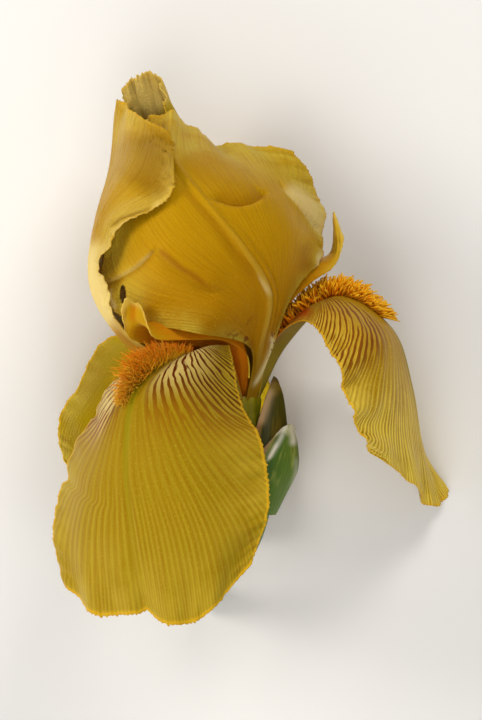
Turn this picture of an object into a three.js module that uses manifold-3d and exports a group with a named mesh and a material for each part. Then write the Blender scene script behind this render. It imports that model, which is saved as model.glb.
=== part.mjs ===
// A cut bearded iris bloom, laid down on a flat surface with its face up.
// Millimetres, +Z up. The surface is Z = 0, the tops of the dome petals point along +Y, the bloom's right is +X.
import * as THREE from 'three';
import { mergeVertices } from 'three/addons/utils/BufferGeometryUtils.js';
import Module from 'manifold-3d';

const wasm = await Module();
wasm.setup();

// The rim of the floral tube, where petals, style and stamens are seated
const SEAT = new THREE.Vector3(-1.0, -12.5, 36.0);
const AXIS_LEAN = 0.1; // rise of the rim along +Y for each millimetre along +X
const CLAW_RING_RADIUS = 3.1;
const CLAW_HALF_WIDTH = 1.25;
const STYLE_RING_RADIUS = 0.8;
const STYLE_HALF_WIDTH = 0.75;
const STYLE_LIFT = 0.3; // the style stands this far over the rim
const JOINT_GAP = 0.35; // clearance between neighbouring pieces

// Where each piece springs from, in degrees round the tube: 0 faces up, 90 is the bloom's right
const FRONT_FALL_AZIMUTH = -35;
const RIGHT_FALL_AZIMUTH = 85;
const BACK_FALL_AZIMUTH = 205;
const RIGHT_STANDARD_AZIMUTH = 25;
const BACK_STANDARD_AZIMUTH = 145;
const LEFT_STANDARD_AZIMUTH = 265;

// Blades: thickness, and how finely each is split across and along
const CLAW_THICKNESS = 1.1;
const PETAL_THICKNESS = 0.8;
const ARM_THICKNESS = 0.8;
const BRACT_THICKNESS = 0.9;
const PETAL_SPLIT = [12, 22];
const ARM_SPLIT = [8, 12];
const BRACT_SPLIT = [10, 14];
const TOOTH_HEIGHT = 0.45;

// Stalk
const TUBE_PATH = [[-1.1, -13.25, 36], [-0.8, -16, 36], [0.2, -22, 36], [1.4, -29, 36], [1.9, -34.8, 36]];
const TUBE_RADII = [3.9, 3.0, 2.6, 3.3, 3.2];
const STEM_PATH = [[1.9, -35.6, 36], [1.7, -41, 35.4], [-0.8, -48, 30.5], [-5, -54.5, 21], [-9, -60, 10.5], [-11.5, -63.5, 1.2]];
const STEM_RADII = [3.1, 3.1, 3.2, 3.2, 3.2, 3.2];
const STALK_SIDES = 12;
const BRACT_SEAT_RADIUS = 4.5;
const BRACT_SEAT_TURNS = [-25, 30, 90, 150, 205];

// The column in the middle of the tube, which carries the style arms
const STYLE_PATH = [[-1, -12.82, 36], [-1.1, -9.6, 36], [-1.4, -7.2, 36]];
const STYLE_RADII = [1.2, 1.6, 1.3];

// Beards
const BRISTLES = 54;
const BRISTLE_RADIUS = 0.38;
const BRISTLE_SIDES = 3;
const PAD_THICKNESS = 0.8;
const PAD_SPLIT = [2, 9];
const ROOT_DEPTH = 0.4;
const BRISTLE_LEAN = 0.35;
const BRISTLE_SPREAD = 0.45;
const GOLDEN_TURN = 0.618034;

// Stamens: how far along the fall and how high over it the filament and the anther lie
const FILAMENT_RADIUS = 0.4;
const FILAMENT_STATIONS = [[0.035, 1.3], [0.07, 1.4], [0.11, 1.6], [0.15, 1.9]];
const ANTHER_STATIONS = [[0.13, 1.8], [0.19, 2.1]];
const ANTHER_RADIUS = 0.8;

// Petals. Each is laid by five veins, from one margin over the midrib to the other, and each vein by
// its points from the claw to the petal's edge. The waves are the height of the ruffles along the
// sides and the end, how many there are, and where they start.
const FALL_FRONT = {
  azimuth: FRONT_FALL_AZIMUTH,
  veins: [
    [[-8.5, -4.5, 41], [-20, -2, 46], [-33, -8, 50], [-41, -20, 49], [-47.5, -38, 49], [-46, -59, 52]],
    [[-8, -3.5, 43.5], [-20, -1.5, 51.5], [-31, -9, 60.5], [-37, -24, 64], [-39.5, -43, 64], [-37.5, -66.2, 62]],
    [[-7, -4.2, 45], [-16.5, -1.6, 56], [-26.5, -10.5, 66], [-29.3, -27, 71], [-28.3, -46, 71], [-25.5, -66, 68]],
    [[-5.2, -4, 46], [-10.5, 0.5, 56], [-15.5, -9, 68], [-15, -26, 75], [-12.5, -45, 76], [-13, -67.6, 72.5]],
    [[-3.6, -5.2, 45.5], [-5.2, 0.9, 51.5], [-2.8, -11, 61], [3, -24, 70], [4.4, -38.5, 74], [0, -53, 73]],
  ],
  waves: { side: 0.7, sideCount: 5, end: 0.9, endCount: 2.5, start: 0.15 },
};
const FALL_RIGHT = {
  azimuth: RIGHT_FALL_AZIMUTH,
  veins: [
    [[5.2, 1.2, 42], [13.5, 7.2, 49], [20.2, -0.8, 56], [24, -11.5, 56], [27, -19.8, 51], [31, -26, 43]],
    [[7.3, 2.4, 39.8], [17.5, 11.3, 45.5], [30, 3.8, 49], [34, -8, 47.5], [36.2, -20.5, 39], [40.6, -33.2, 27]],
    [[9.2, 1.8, 36.5], [22, 13.2, 35.5], [35.2, 5.2, 33], [40.2, -9, 28], [42.6, -24, 21], [45, -39.2, 12.5]],
    [[8.8, 2.6, 33.5], [21.5, 11.7, 27], [34, 3, 20], [39, -10, 13.5], [42.6, -22.5, 7.5], [49.6, -38.4, 4]],
    [[7.6, 2.6, 31], [17, 8, 20], [27, -1, 10.5], [32.5, -11.5, 4.5], [39, -20, 1], [48.8, -33.8, 0]],
  ],
  waves: { side: 0.9, sideCount: 6, end: 0.8, endCount: 2, start: 0.4 },
};
const FALL_BACK = {
  azimuth: BACK_FALL_AZIMUTH,
  veins: [
    [[-1, -3, 22], [1, 2, 13.5], [4, -4, 8.5], [6, -18, 6], [5, -33, 6.5], [0.5, -44, 8]],
    [[-3, -2, 21.5], [-6, 4, 12.5], [-8.5, -2, 4.5], [-9, -18, 0], [-9.5, -34, 0.2], [-10.5, -47.5, 4]],
    [[-6, -3, 23], [-13, 3, 14], [-20, -3, 5], [-23, -18, -0.4], [-24, -35, 0.2], [-24, -50, 5]],
    [[-8, -2.5, 26], [-18, 3.5, 19], [-28.5, 0, 12], [-36, -14, 7.5], [-38.5, -29, 7], [-36, -43, 8]],
    [[-9.5, -3.5, 28.5], [-22, 2.5, 23.5], [-35, 3, 19.5], [-45, -11, 17], [-48.8, -23, 14], [-43.5, -33, 12]],
  ],
  waves: { side: 0.8, sideCount: 5, end: 0.7, endCount: 2.5, start: 0.7 },
};
const STANDARD_RIGHT = {
  azimuth: RIGHT_STANDARD_AZIMUTH,
  veins: [
    [[0, 0.6, 46], [-14, 5.3, 57], [-31.2, 10, 52.4], [-35.8, 20.3, 49.6], [-32.8, 36.5, 51.8], [-29.5, 52, 42]],
    [[1.2, 0.6, 46.2], [-5.5, 11.5, 58], [-17, 19.5, 62.5], [-24, 30, 60], [-26, 41.5, 53.5], [-26.5, 56.5, 40.5]],
    [[2.4, 0.2, 45.4], [4.6, 13.5, 53.5], [-1.5, 24.8, 60], [-10.7, 36, 61.6], [-18.5, 46.5, 57], [-19, 58.6, 42.5]],
    [[3.5, 0, 44.6], [8, 14, 51], [9.8, 25.5, 54.5], [6.5, 36, 54.5], [-0.5, 44.5, 50], [-8.2, 51.4, 39.5]],
    [[4.5, -0.4, 43.2], [9.6, 13, 46.5], [16.8, 21.8, 42], [18.4, 32, 37], [15.8, 41.5, 36], [9.5, 51.2, 38]],
  ],
  waves: { side: 0.6, sideCount: 5, end: 0.7, endCount: 3, start: 0.3 },
};
const STANDARD_LEFT = {
  azimuth: LEFT_STANDARD_AZIMUTH,
  veins: [
    [[-15, -6.5, 31.5], [-27.5, 4, 24], [-30, 15.5, 13], [-30, 32, 12], [-32.4, 47.5, 19], [-33, 57.5, 28]],
    [[-16.5, -7.2, 33.4], [-31, 2.5, 30.5], [-37, 16, 25.5], [-36, 32, 23], [-34, 48.5, 27], [-33, 61, 31.5]],
    [[-17, -7, 36], [-31.6, 2.3, 36], [-39.3, 16, 35.5], [-38.4, 32, 35], [-34.2, 47.5, 35], [-32.2, 62.2, 36]],
    [[-16.8, -6.2, 38.2], [-31.8, 3.8, 42], [-39.2, 16, 45.5], [-37.4, 31.5, 50], [-29.5, 46, 56], [-27.5, 58, 49]],
    [[-16, -5.5, 39.8], [-31.1, 4.5, 48.2], [-36.4, 16.4, 54.3], [-34.3, 28.4, 57.8], [-19.3, 38.8, 63.6], [-20.3, 54, 57.5]],
  ],
  waves: { side: 0.8, sideCount: 6, end: 0.6, endCount: 2, start: 0.55 },
};
const STANDARD_BACK = {
  azimuth: BACK_STANDARD_AZIMUTH,
  veins: [
    [[5.5, 1, 29.5], [11, 14, 28], [14.5, 26, 29], [11, 36.5, 29.5], [-9.5, 46, 31], [-20.6, 59.5, 35]],
    [[5.5, 1, 27], [10, 14, 19.5], [10.5, 27, 14], [5, 38, 11.5], [-12.5, 48.5, 26.5], [-21.8, 65, 34]],
    [[4, 1, 25], [6, 14, 14.5], [2.5, 27.5, 5], [-6, 40, -0.3], [-18, 51.5, 25], [-24.3, 69.6, 33]],
    [[2, 0.5, 24.2], [-1, 12.5, 14.5], [-9, 26, 6], [-18.6, 39.5, 4.4], [-25, 53, 25], [-29.2, 68, 32.5]],
    [[-1, 0, 25], [-11, 11, 18], [-23.5, 24, 14.5], [-27, 38.5, 15.5], [-29.4, 52, 25.5], [-32, 65.2, 32]],
  ],
  waves: { side: 0.6, sideCount: 5, end: 0.5, endCount: 2.5, start: 0.85 },
};

// Style arms, laid by their veins as the petals are. The middle of each end is notched between two crests.
const STYLE_ARMS = {
  front: {
    azimuth: FRONT_FALL_AZIMUTH,
    veins: [
      [[-4.5, -2.6, 42.5], [-11, 0.5, 46.5], [-20, 0.8, 49.5], [-29.5, 2.8, 54], [-31.8, 9.5, 59]],
      [[-4.2, 0.2, 44], [-11.5, 4.6, 49], [-20.5, 6, 51.5], [-29, 5.3, 56], [-30.4, 12.8, 59]],
      [[-3.2, 1.6, 45], [-10, 6.4, 50.5], [-19, 7.4, 52.6], [-27, 6.6, 57.2], [-28.5, 11.6, 58]],
      [[-1.6, 1, 45], [-8, 5.8, 51.5], [-17, 6, 54.1], [-24.8, 5.3, 59.3], [-27, 11, 59]],
      [[-0.9, -2, 44], [-6.5, 2.2, 51.2], [-15.5, 2.4, 55.3], [-23.3, 2.8, 59.8], [-25.8, 8, 61.5]],
    ],
  },
  right: {
    azimuth: RIGHT_FALL_AZIMUTH,
    veins: [
      [[4.6, 0.5, 39.5], [9, 10.5, 41], [15.5, 17, 42], [21, 21, 42], [23.5, 27.5, 41]],
      [[3.8, 2, 38], [8.2, 13, 39.3], [14.5, 19.8, 40.5], [21.6, 24, 41.5], [20.9, 34.3, 40.5]],
      [[3.6, 2.5, 36], [8, 13.8, 36], [14.2, 20.8, 36.5], [20, 23.8, 36.5], [21.3, 28.5, 36.5]],
      [[3.8, 2, 34], [8.2, 13, 32.7], [14.5, 19.8, 32.5], [21.6, 24, 32], [20.9, 33.5, 33]],
      [[4.6, 0.5, 32.5], [9, 10.5, 31], [15.5, 17, 30.5], [21, 21, 30.5], [23.5, 27.5, 31.5]],
    ],
  },
  back: {
    azimuth: BACK_FALL_AZIMUTH,
    veins: [
      [[-2, -2.5, 28], [-6, 4.5, 20.5], [-12, 7.5, 13.5], [-17, 10, 12], [-19.5, 15.5, 14.5]],
      [[-2.8, -0.8, 28.8], [-8, 7.5, 22], [-14.5, 11, 16.5], [-20, 13, 14.5], [-20.5, 20, 18.5]],
      [[-3.6, -0.4, 30], [-9.8, 8, 24], [-17, 11.5, 18.5], [-22.5, 12.5, 17], [-23, 17, 19.5]],
      [[-4.4, -0.8, 31.4], [-11.5, 7.5, 26], [-19, 10.5, 21], [-25, 12, 19.5], [-24.5, 18.5, 22]],
      [[-4.6, -2.5, 32.6], [-13, 4.5, 28], [-20.5, 6.5, 23.5], [-26, 8, 22.5], [-26.5, 13.5, 24]],
    ],
  },
};

// Bracts. Each is folded round its keel, the middle vein, with its two edges towards the bloom's left.
const SPATHE_OUTER = {
  seat: [1.6, -41, 35.4],
  veins: [
    [[-1.5, -36.5, 41.6], [-0.5, -31.5, 43.8], [2.8, -25.3, 44], [8, -19.4, 41.9]],
    [[4.6, -36.5, 42.1], [6, -31.5, 43.6], [7.5, -25, 43.4], [9.1, -18.8, 41.8]],
    [[8.6, -36, 36], [11.5, -30, 36], [11.6, -24.5, 36.5], [10.5, -18.5, 39.2]],
    [[4.6, -36.5, 29.8], [6, -31.5, 28.3], [7.5, -25, 29], [11.4, -19.6, 35.6]],
    [[-1.5, -36.5, 30.2], [-0.5, -31.5, 27.8], [3, -25.5, 27.3], [10, -20.8, 31.8]],
  ],
};
const SPATHE_INNER = {
  seat: [1.9, -37.5, 35.9],
  veins: [
    [[-1.4, -31, 41], [0.6, -22.5, 40.9], [3.2, -14, 39.4], [5.9, -6.6, 36.3]],
    [[4.4, -31, 41.4], [5, -22.5, 40.6], [5.7, -14, 38.4], [6.6, -7.1, 36.1]],
    [[9, -30, 35.7], [9, -20.5, 35.3], [8.2, -13, 35.4], [7.1, -8, 35.5]],
    [[4.4, -31, 30.4], [5, -22.5, 30.6], [5.7, -14, 32.6], [6.6, -7.1, 34.9]],
    [[-1.4, -31, 31], [0.6, -22.5, 30.5], [3.2, -14, 31.6], [5.9, -6.6, 34.7]],
  ],
};

// Colours
const PETAL_GOLD = '#d8ab17';
const BEARD_ORANGE = '#d9660b';
const STYLE_AMBER = '#dc9a12';
const TUBE_GREEN = '#7f9130';
const BRACT_GREEN = '#4d7a35';
const STEM_GREEN = '#55802f';
const ANTHER_CREAM = '#e6d28a';

// A repeatable stream of numbers from 0 to 1
function draws(seed) {
  let state = seed;
  return () => {
    state = (Math.imul(state, 1664525) + 1013904223) >>> 0;
    return state / 4294967296;
  };
}

// A smooth open curve through points given as [x, y, z]
function curveThrough(points) {
  return new THREE.CatmullRomCurve3(points.map((p) => new THREE.Vector3(...p)), false, 'catmullrom', 0.5);
}

// A place by the tube's rim: degrees round it, millimetres out from its axis and sideways from there
function seatPoint(azimuth, out, sideways) {
  const angle = THREE.MathUtils.degToRad(azimuth);
  const across = out * Math.sin(angle) + sideways * Math.cos(angle);
  const depth = out * Math.cos(angle) - sideways * Math.sin(angle);
  return [SEAT.x + across, SEAT.y + across * AXIS_LEAN, SEAT.z + depth];
}

// The smooth skin through a piece's veins: u runs from -1 to 1 across it and v from 0 to 1 along it
function skinThrough(veins) {
  const curves = veins.map(curveThrough);
  return (u, v) => {
    const rib = new THREE.CatmullRomCurve3(curves.map((vein) => vein.getPoint(v)), false, 'catmullrom', 0.5);
    return rib.getPoint((u + 1) / 2);
  };
}

// The skin of a piece whose veins rise from the tube's rim, or from a little over it
function seatedSkin(piece, ringRadius, halfWidth, lift = 0) {
  return skinThrough(piece.veins.map((points, index) => {
    const sideways = (index / 2 - 1) * halfWidth;
    const [x, y, z] = seatPoint(piece.azimuth, ringRadius, sideways);
    return [[x, y + lift, z], ...points];
  }));
}

// The direction a skin faces, from a short step each way along it
function facing(skin, u, v) {
  const step = 0.01;
  const across = skin(Math.min(1, u + step), v).sub(skin(Math.max(-1, u - step), v));
  const along = skin(u, Math.min(1, v + step)).sub(skin(u, Math.max(0, v - step)));
  return across.cross(along).normalize();
}

// How far the ruffles lift a petal off its smooth skin
function ruffle(waves, u, v) {
  const turn = 2 * Math.PI;
  const sidePhase = waves.start + (u < 0 ? 0 : 0.37);
  const side = waves.side * THREE.MathUtils.smoothstep(Math.abs(u), 0.5, 1) * THREE.MathUtils.smoothstep(v, 0.3, 0.55);
  const end = waves.end * THREE.MathUtils.smoothstep(v, 0.8, 1);
  return side * Math.sin(turn * (waves.sideCount * v + sidePhase)) + end * Math.sin(turn * (waves.endCount * u + waves.start));
}

function petalSkin(petal) {
  const smooth = seatedSkin(petal, CLAW_RING_RADIUS, CLAW_HALF_WIDTH);
  return (u, v) => smooth(u, v).addScaledVector(facing(smooth, u, v), ruffle(petal.waves, u, v));
}

// The vertices round the edge of a sheet, in order. The sheet's first row is its far end.
function borderOf([columns, rows]) {
  const at = (column, row) => row * (columns + 1) + column;
  const rim = [];
  for (let row = 0; row < rows; row += 1) rim.push(at(0, row));
  for (let column = 0; column < columns; column += 1) rim.push(at(column, rows));
  for (let row = rows; row > 0; row -= 1) rim.push(at(columns, row));
  for (let column = columns; column > 0; column -= 1) rim.push(at(column, 0));
  return rim;
}

// A flat sheet bent onto a skin. No part of it sinks below half its thickness over the surface.
function bentSheet(skin, split, thicknessAt) {
  const sheet = new THREE.PlaneGeometry(2, 1, ...split);
  const place = sheet.attributes.position;
  const thickness = [];
  for (let i = 0; i < place.count; i += 1) {
    const u = place.getX(i);
    const v = place.getY(i) + 0.5;
    const point = skin(u, v);
    thickness.push(thicknessAt(v));
    place.setXYZ(i, point.x, point.y, Math.max(point.z, thickness[i] / 2));
  }
  return { sheet, thickness };
}

// Cut teeth into a sheet's sides and far end: its edge is moved out and in by turns
function serrate(sheet, split, seed) {
  const [columns, rows] = split;
  const next = draws(seed);
  const place = sheet.attributes.position;
  const at = (column, row) => row * (columns + 1) + column;
  const toothed = Math.round(rows * 0.68);
  for (const vertex of borderOf(split)) {
    const column = vertex % (columns + 1);
    const row = Math.floor(vertex / (columns + 1));
    const inner = at(THREE.MathUtils.clamp(column, 1, columns - 1), Math.max(row, 1));
    const reach = TOOTH_HEIGHT * (0.4 + 0.6 * next()) * ((row + column) % 2 === 0 ? 1 : -1);
    if (row > toothed) continue;
    const edge = new THREE.Vector3().fromBufferAttribute(place, vertex);
    const outward = edge.clone().sub(new THREE.Vector3().fromBufferAttribute(place, inner)).normalize();
    edge.addScaledVector(outward, reach);
    place.setXYZ(vertex, edge.x, edge.y, edge.z);
  }
}

// A closed body from an open sheet: both faces are split into the same triangles, and a rim joins them
function thicken(sheet, split, thickness) {
  sheet.computeVertexNormals();
  const place = sheet.attributes.position;
  const normal = sheet.attributes.normal;
  const count = place.count;
  const positions = [];
  for (const side of [0.5, -0.5]) {
    for (let i = 0; i < count; i += 1) {
      const point = new THREE.Vector3().fromBufferAttribute(place, i);
      point.addScaledVector(new THREE.Vector3().fromBufferAttribute(normal, i), side * thickness[i]);
      positions.push(point.x, point.y, Math.max(0, point.z));
    }
  }
  const front = Array.from(sheet.index.array);
  const indices = [...front];
  for (let i = 0; i < front.length; i += 3) {
    indices.push(front[i] + count, front[i + 2] + count, front[i + 1] + count);
  }
  const rim = borderOf(split);
  rim.forEach((a, i) => {
    const b = rim[(i + 1) % rim.length];
    indices.push(a, a + count, b, b, a + count, b + count);
  });
  const body = new THREE.BufferGeometry();
  body.setAttribute('position', new THREE.Float32BufferAttribute(positions, 3));
  body.setIndex(indices);
  return body;
}

function blade(skin, split, thicknessAt, seed) {
  const { sheet, thickness } = bentSheet(skin, split, thicknessAt);
  if (seed) serrate(sheet, split, seed);
  return thicken(sheet, split, thickness);
}

// A turned body of changing radius, bent along a path
function stalk(path, radii) {
  const axis = curveThrough(path);
  const radiusAt = curveThrough(radii.map((radius, i) => [radius, i, 0]));
  const stations = (path.length - 1) * 2;
  const profile = [new THREE.Vector2(0, 0)];
  for (let i = 0; i <= stations; i += 1) {
    profile.push(new THREE.Vector2(radiusAt.getPoint(i / stations).x, i / stations));
  }
  profile.push(new THREE.Vector2(0, 1));
  const body = new THREE.LatheGeometry(profile, STALK_SIDES);
  const place = body.attributes.position;
  const side = new THREE.Vector3(0, 0, 1);
  for (let i = 0; i < place.count; i += 1) {
    const along = place.getY(i);
    const tangent = axis.getTangent(along);
    const across = new THREE.Vector3().crossVectors(tangent, side).normalize();
    const up = new THREE.Vector3().crossVectors(across, tangent).normalize();
    const point = axis.getPoint(along);
    point.addScaledVector(across, place.getX(i)).addScaledVector(up, place.getZ(i));
    place.setXYZ(i, point.x, point.y, Math.max(0, point.z));
  }
  return welded(body);
}

// A geometry with one vertex at each place, and only its shape kept
function welded(geometry) {
  geometry.deleteAttribute('normal');
  geometry.deleteAttribute('uv');
  return mergeVertices(geometry, 1e-4);
}

function solidOf(geometry) {
  const shape = welded(geometry);
  return new wasm.Manifold(new wasm.Mesh({
    numProp: 3,
    vertProperties: Float32Array.from(shape.attributes.position.array),
    triVerts: Uint32Array.from(shape.index.array),
  }));
}

function geometryOf(solid) {
  const mesh = solid.getMesh();
  const geometry = new THREE.BufferGeometry();
  geometry.setAttribute('position', new THREE.BufferAttribute(mesh.vertProperties, 3));
  geometry.setIndex(new THREE.BufferAttribute(mesh.triVerts, 1));
  return geometry;
}

// A rod of even sides along a path, for a filament
function rod(path, radius, sides, steps) {
  const section = new THREE.Shape();
  for (let i = 0; i < sides; i += 1) {
    const angle = (2 * Math.PI * i) / sides;
    const corner = [radius * Math.cos(angle), radius * Math.sin(angle)];
    if (i === 0) section.moveTo(...corner);
    else section.lineTo(...corner);
  }
  section.closePath();
  return new THREE.ExtrudeGeometry(section, { extrudePath: curveThrough(path), steps, curveSegments: 1 });
}

const flower = new THREE.Group();

function addPiece(name, geometry, color, roughness) {
  geometry.computeVertexNormals();
  const mesh = new THREE.Mesh(geometry, new THREE.MeshStandardMaterial({ color, roughness, metalness: 0 }));
  mesh.name = name;
  flower.add(mesh);
}

// Petals
const petalThickness = (v) => THREE.MathUtils.lerp(CLAW_THICKNESS, PETAL_THICKNESS, Math.min(1, v / 0.3));

function addPetal(name, petal, seed) {
  addPiece(name, blade(petalSkin(petal), PETAL_SPLIT, petalThickness, seed), PETAL_GOLD, 0.55);
}

addPetal('fall_front', FALL_FRONT, 11);
addPetal('fall_right', FALL_RIGHT, 12);
addPetal('fall_back', FALL_BACK, 13);
addPetal('standard_right', STANDARD_RIGHT, 14);
addPetal('standard_left', STANDARD_LEFT, 15);
addPetal('standard_back', STANDARD_BACK, 16);

// Beards: a slim pad along the fall's midrib, and the bristles rooted in it
const upperFace = (skin, u, v) => facing(skin, u, v).negate();

function beardPad(skin, beard) {
  const lift = (CLAW_THICKNESS + PAD_THICKNESS) / 2 + JOINT_GAP;
  const sample = 0.05;
  return (across, along) => {
    const v = THREE.MathUtils.lerp(beard.from, beard.to, along);
    const widthPerU = skin(sample, v).distanceTo(skin(-sample, v)) / (2 * sample);
    const halfWidth = beard.halfWidth * (0.5 + 0.5 * Math.sin(Math.PI * Math.sqrt(along)));
    const u = across * Math.min(0.75, halfWidth / widthPerU);
    return skin(u, v).addScaledVector(upperFace(skin, u, v), lift);
  };
}

function bristle(root, direction, length) {
  const cone = new THREE.ConeGeometry(BRISTLE_RADIUS, length + ROOT_DEPTH, BRISTLE_SIDES);
  const turn = new THREE.Quaternion().setFromUnitVectors(new THREE.Vector3(0, 1, 0), direction);
  const middle = root.clone().addScaledVector(direction, length / 2 - ROOT_DEPTH / 2);
  cone.applyMatrix4(new THREE.Matrix4().compose(middle, turn, new THREE.Vector3(1, 1, 1)));
  return solidOf(cone);
}

function addBeard(name, petal, beard) {
  const skin = petalSkin(petal);
  const pad = beardPad(skin, beard);
  const next = draws(beard.seed);
  let body = solidOf(blade(pad, PAD_SPLIT, () => PAD_THICKNESS));
  for (let i = 0; i < BRISTLES; i += 1) {
    const along = (i + next()) / BRISTLES;
    const across = (((i * GOLDEN_TURN) % 1) * 2 - 1) * 0.8;
    const v = THREE.MathUtils.lerp(beard.from, beard.to, along);
    const root = pad(across, along);
    const outward = upperFace(skin, 0, v);
    const ahead = pad(across, Math.min(1, along + 0.05)).sub(pad(across, Math.max(0, along - 0.05))).normalize();
    const aside = new THREE.Vector3().crossVectors(outward, ahead);
    const direction = outward.addScaledVector(ahead, BRISTLE_LEAN * (0.5 + next()));
    direction.addScaledVector(aside, across * BRISTLE_SPREAD + 0.3 * (next() - 0.5)).normalize();
    const length = curveThrough(beard.lengths.map((reach) => [reach, 0, 0])).getPoint(along).x;
    body = body.add(bristle(root, direction, length * (0.75 + 0.4 * next())));
  }
  addPiece(name, geometryOf(body), BEARD_ORANGE, 0.7);
}

addBeard('beard_front', FALL_FRONT, { from: 0.26, to: 0.5, halfWidth: 3.6, lengths: [0.8, 1.4, 4.2, 4.8, 3.6], seed: 21 });
addBeard('beard_right', FALL_RIGHT, { from: 0.22, to: 0.44, halfWidth: 2.6, lengths: [2, 4.4, 5.6, 5.4, 4], seed: 22 });
addBeard('beard_back', FALL_BACK, { from: 0.22, to: 0.42, halfWidth: 2.6, lengths: [0.7, 1.1, 2.4, 3, 2.2], seed: 23 });

// Stamens, one between each fall and the style arm over it
function addStamen(name, petal) {
  const skin = petalSkin(petal);
  const over = (v, height) => skin(0, v).addScaledVector(upperFace(skin, 0, v), height);
  const path = FILAMENT_STATIONS.map(([v, height]) => over(v, height).toArray());
  const filament = solidOf(rod(path, FILAMENT_RADIUS, 6, 8));
  const [start, end] = ANTHER_STATIONS.map(([v, height]) => over(v, height));
  const anther = new THREE.SphereGeometry(1, 8, 6);
  const turn = new THREE.Quaternion().setFromUnitVectors(new THREE.Vector3(0, 1, 0), end.clone().sub(start).normalize());
  const scale = new THREE.Vector3(ANTHER_RADIUS, start.distanceTo(end) / 2, ANTHER_RADIUS);
  anther.applyMatrix4(new THREE.Matrix4().compose(start.clone().lerp(end, 0.5), turn, scale));
  addPiece(name, geometryOf(filament.add(solidOf(anther))), ANTHER_CREAM, 0.6);
}

addStamen('stamen_front', FALL_FRONT);
addStamen('stamen_right', FALL_RIGHT);
addStamen('stamen_back', FALL_BACK);

// Style: a short column in the middle of the tube, and the three arms that grow from it
function addStyle() {
  let style = solidOf(stalk(STYLE_PATH, STYLE_RADII));
  for (const arm of Object.values(STYLE_ARMS)) {
    const skin = seatedSkin(arm, STYLE_RING_RADIUS, STYLE_HALF_WIDTH, STYLE_LIFT);
    style = style.add(solidOf(blade(skin, ARM_SPLIT, () => ARM_THICKNESS)));
  }
  addPiece('style', geometryOf(style), STYLE_AMBER, 0.5);
}
addStyle();

// Tube and stem
addPiece('floral_tube', stalk(TUBE_PATH, TUBE_RADII), TUBE_GREEN, 0.5);
addPiece('stem', stalk(STEM_PATH, STEM_RADII), STEM_GREEN, 0.5);

// Bracts, seated round the right half of the stem
function addBract(name, bract, color) {
  const [x, y, z] = bract.seat;
  const veins = bract.veins.map((points, index) => {
    const angle = THREE.MathUtils.degToRad(BRACT_SEAT_TURNS[index]);
    const seat = [x + BRACT_SEAT_RADIUS * Math.sin(angle), y, z + BRACT_SEAT_RADIUS * Math.cos(angle)];
    return [seat, ...points];
  });
  addPiece(name, blade(skinThrough(veins), BRACT_SPLIT, () => BRACT_THICKNESS), color, 0.45);
}
addBract('spathe_outer', SPATHE_OUTER, BRACT_GREEN);
addBract('spathe_inner', SPATHE_INNER, BRACT_GREEN);

// The origin lies under the middle of the flower, on the surface
const extent = new THREE.Box3().setFromObject(flower);
const middle = extent.getCenter(new THREE.Vector3());
for (const piece of flower.children) piece.geometry.translate(-middle.x, -middle.y, -extent.min.z);

export default flower;
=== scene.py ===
"""A cut bearded iris bloom, laid on a pale floor with its face up.

The bloom's lengths are in millimetres until a mesh is finished, and colours are written as they look on a
screen.
"""

import logging
import math
from dataclasses import dataclass, field
from enum import Enum

import bmesh
import bpy
import numpy as np
from mathutils import Matrix, Vector

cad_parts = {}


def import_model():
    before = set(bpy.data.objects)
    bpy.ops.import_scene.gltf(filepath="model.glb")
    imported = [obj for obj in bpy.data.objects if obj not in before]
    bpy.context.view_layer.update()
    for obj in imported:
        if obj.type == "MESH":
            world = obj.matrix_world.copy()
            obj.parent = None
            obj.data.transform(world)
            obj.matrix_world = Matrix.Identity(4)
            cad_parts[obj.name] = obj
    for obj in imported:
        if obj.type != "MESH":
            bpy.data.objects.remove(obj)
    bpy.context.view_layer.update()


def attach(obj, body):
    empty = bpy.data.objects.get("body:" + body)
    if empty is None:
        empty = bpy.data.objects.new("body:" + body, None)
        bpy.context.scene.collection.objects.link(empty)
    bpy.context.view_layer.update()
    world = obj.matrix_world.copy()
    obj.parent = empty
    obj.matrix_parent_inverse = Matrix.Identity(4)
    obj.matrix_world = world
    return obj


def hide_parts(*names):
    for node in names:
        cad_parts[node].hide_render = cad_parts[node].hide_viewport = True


LOG = logging.getLogger("iris")

Array = np.ndarray
Point = tuple[float, float, float]
Net = tuple[tuple[Point, ...], ...]
Knots = tuple[tuple[float, float], ...]
Track = tuple[tuple[float, float], ...]

MM = 0.001

# One full turn, in radians
TURN = 2 * math.pi

# Half the distance between the two stations that a direction is measured from
STEP = 0.01

# Millimetres to one unit of the span map
SPAN_UNIT = 100.0

# The bloom is drawn round its tube. This point of the drawing lies over the frame's origin.
DRAWN_ORIGIN = np.array([1.073, 0.617, 0.0])

# Where a petal's haft ends, and where a blade's far end begins, along it
HAFT = 0.33
FAR_END = 0.8

# How strongly a fall's veins bend outwards past its haft, and where each of their forkings begins and ends
FALL_SPREAD = 10.5
FORKS = ((0.4, 0.5), (0.52, 0.63), (0.68, 0.82), (0.86, 1.0))

# How many fine ribs a blade with straight veins has, and how many crinkles along each side and the far end
RIB_COUNT = 75
SIDE_CRINKLES = 64
END_CRINKLES = 40

# How far the crinkles, the teeth and the thinning of the wall reach into a blade from its margin
SIDE_CRINKLE_REACH = 8.0
END_CRINKLE_REACH = 7.0
TOOTH_REACH = 1.8
WALL_REACH = 5.0

# In how many steps the wall thins
WALL_STEPS = 20

# The middle of the floral tube's rim, and how steeply the rim climbs towards the bloom's right
SEAT = np.array([-1.0, -12.5, 36.0])
AXIS_LEAN = 0.1

# The seats of claws and style arms: distance from the tube's axis, half the width, height over the rim
CLAW_RING = 3.1
CLAW_HALF_WIDTH = 1.25
STYLE_RING = 0.8
STYLE_HALF_WIDTH = 0.75
STYLE_LIFT = 0.3

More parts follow.
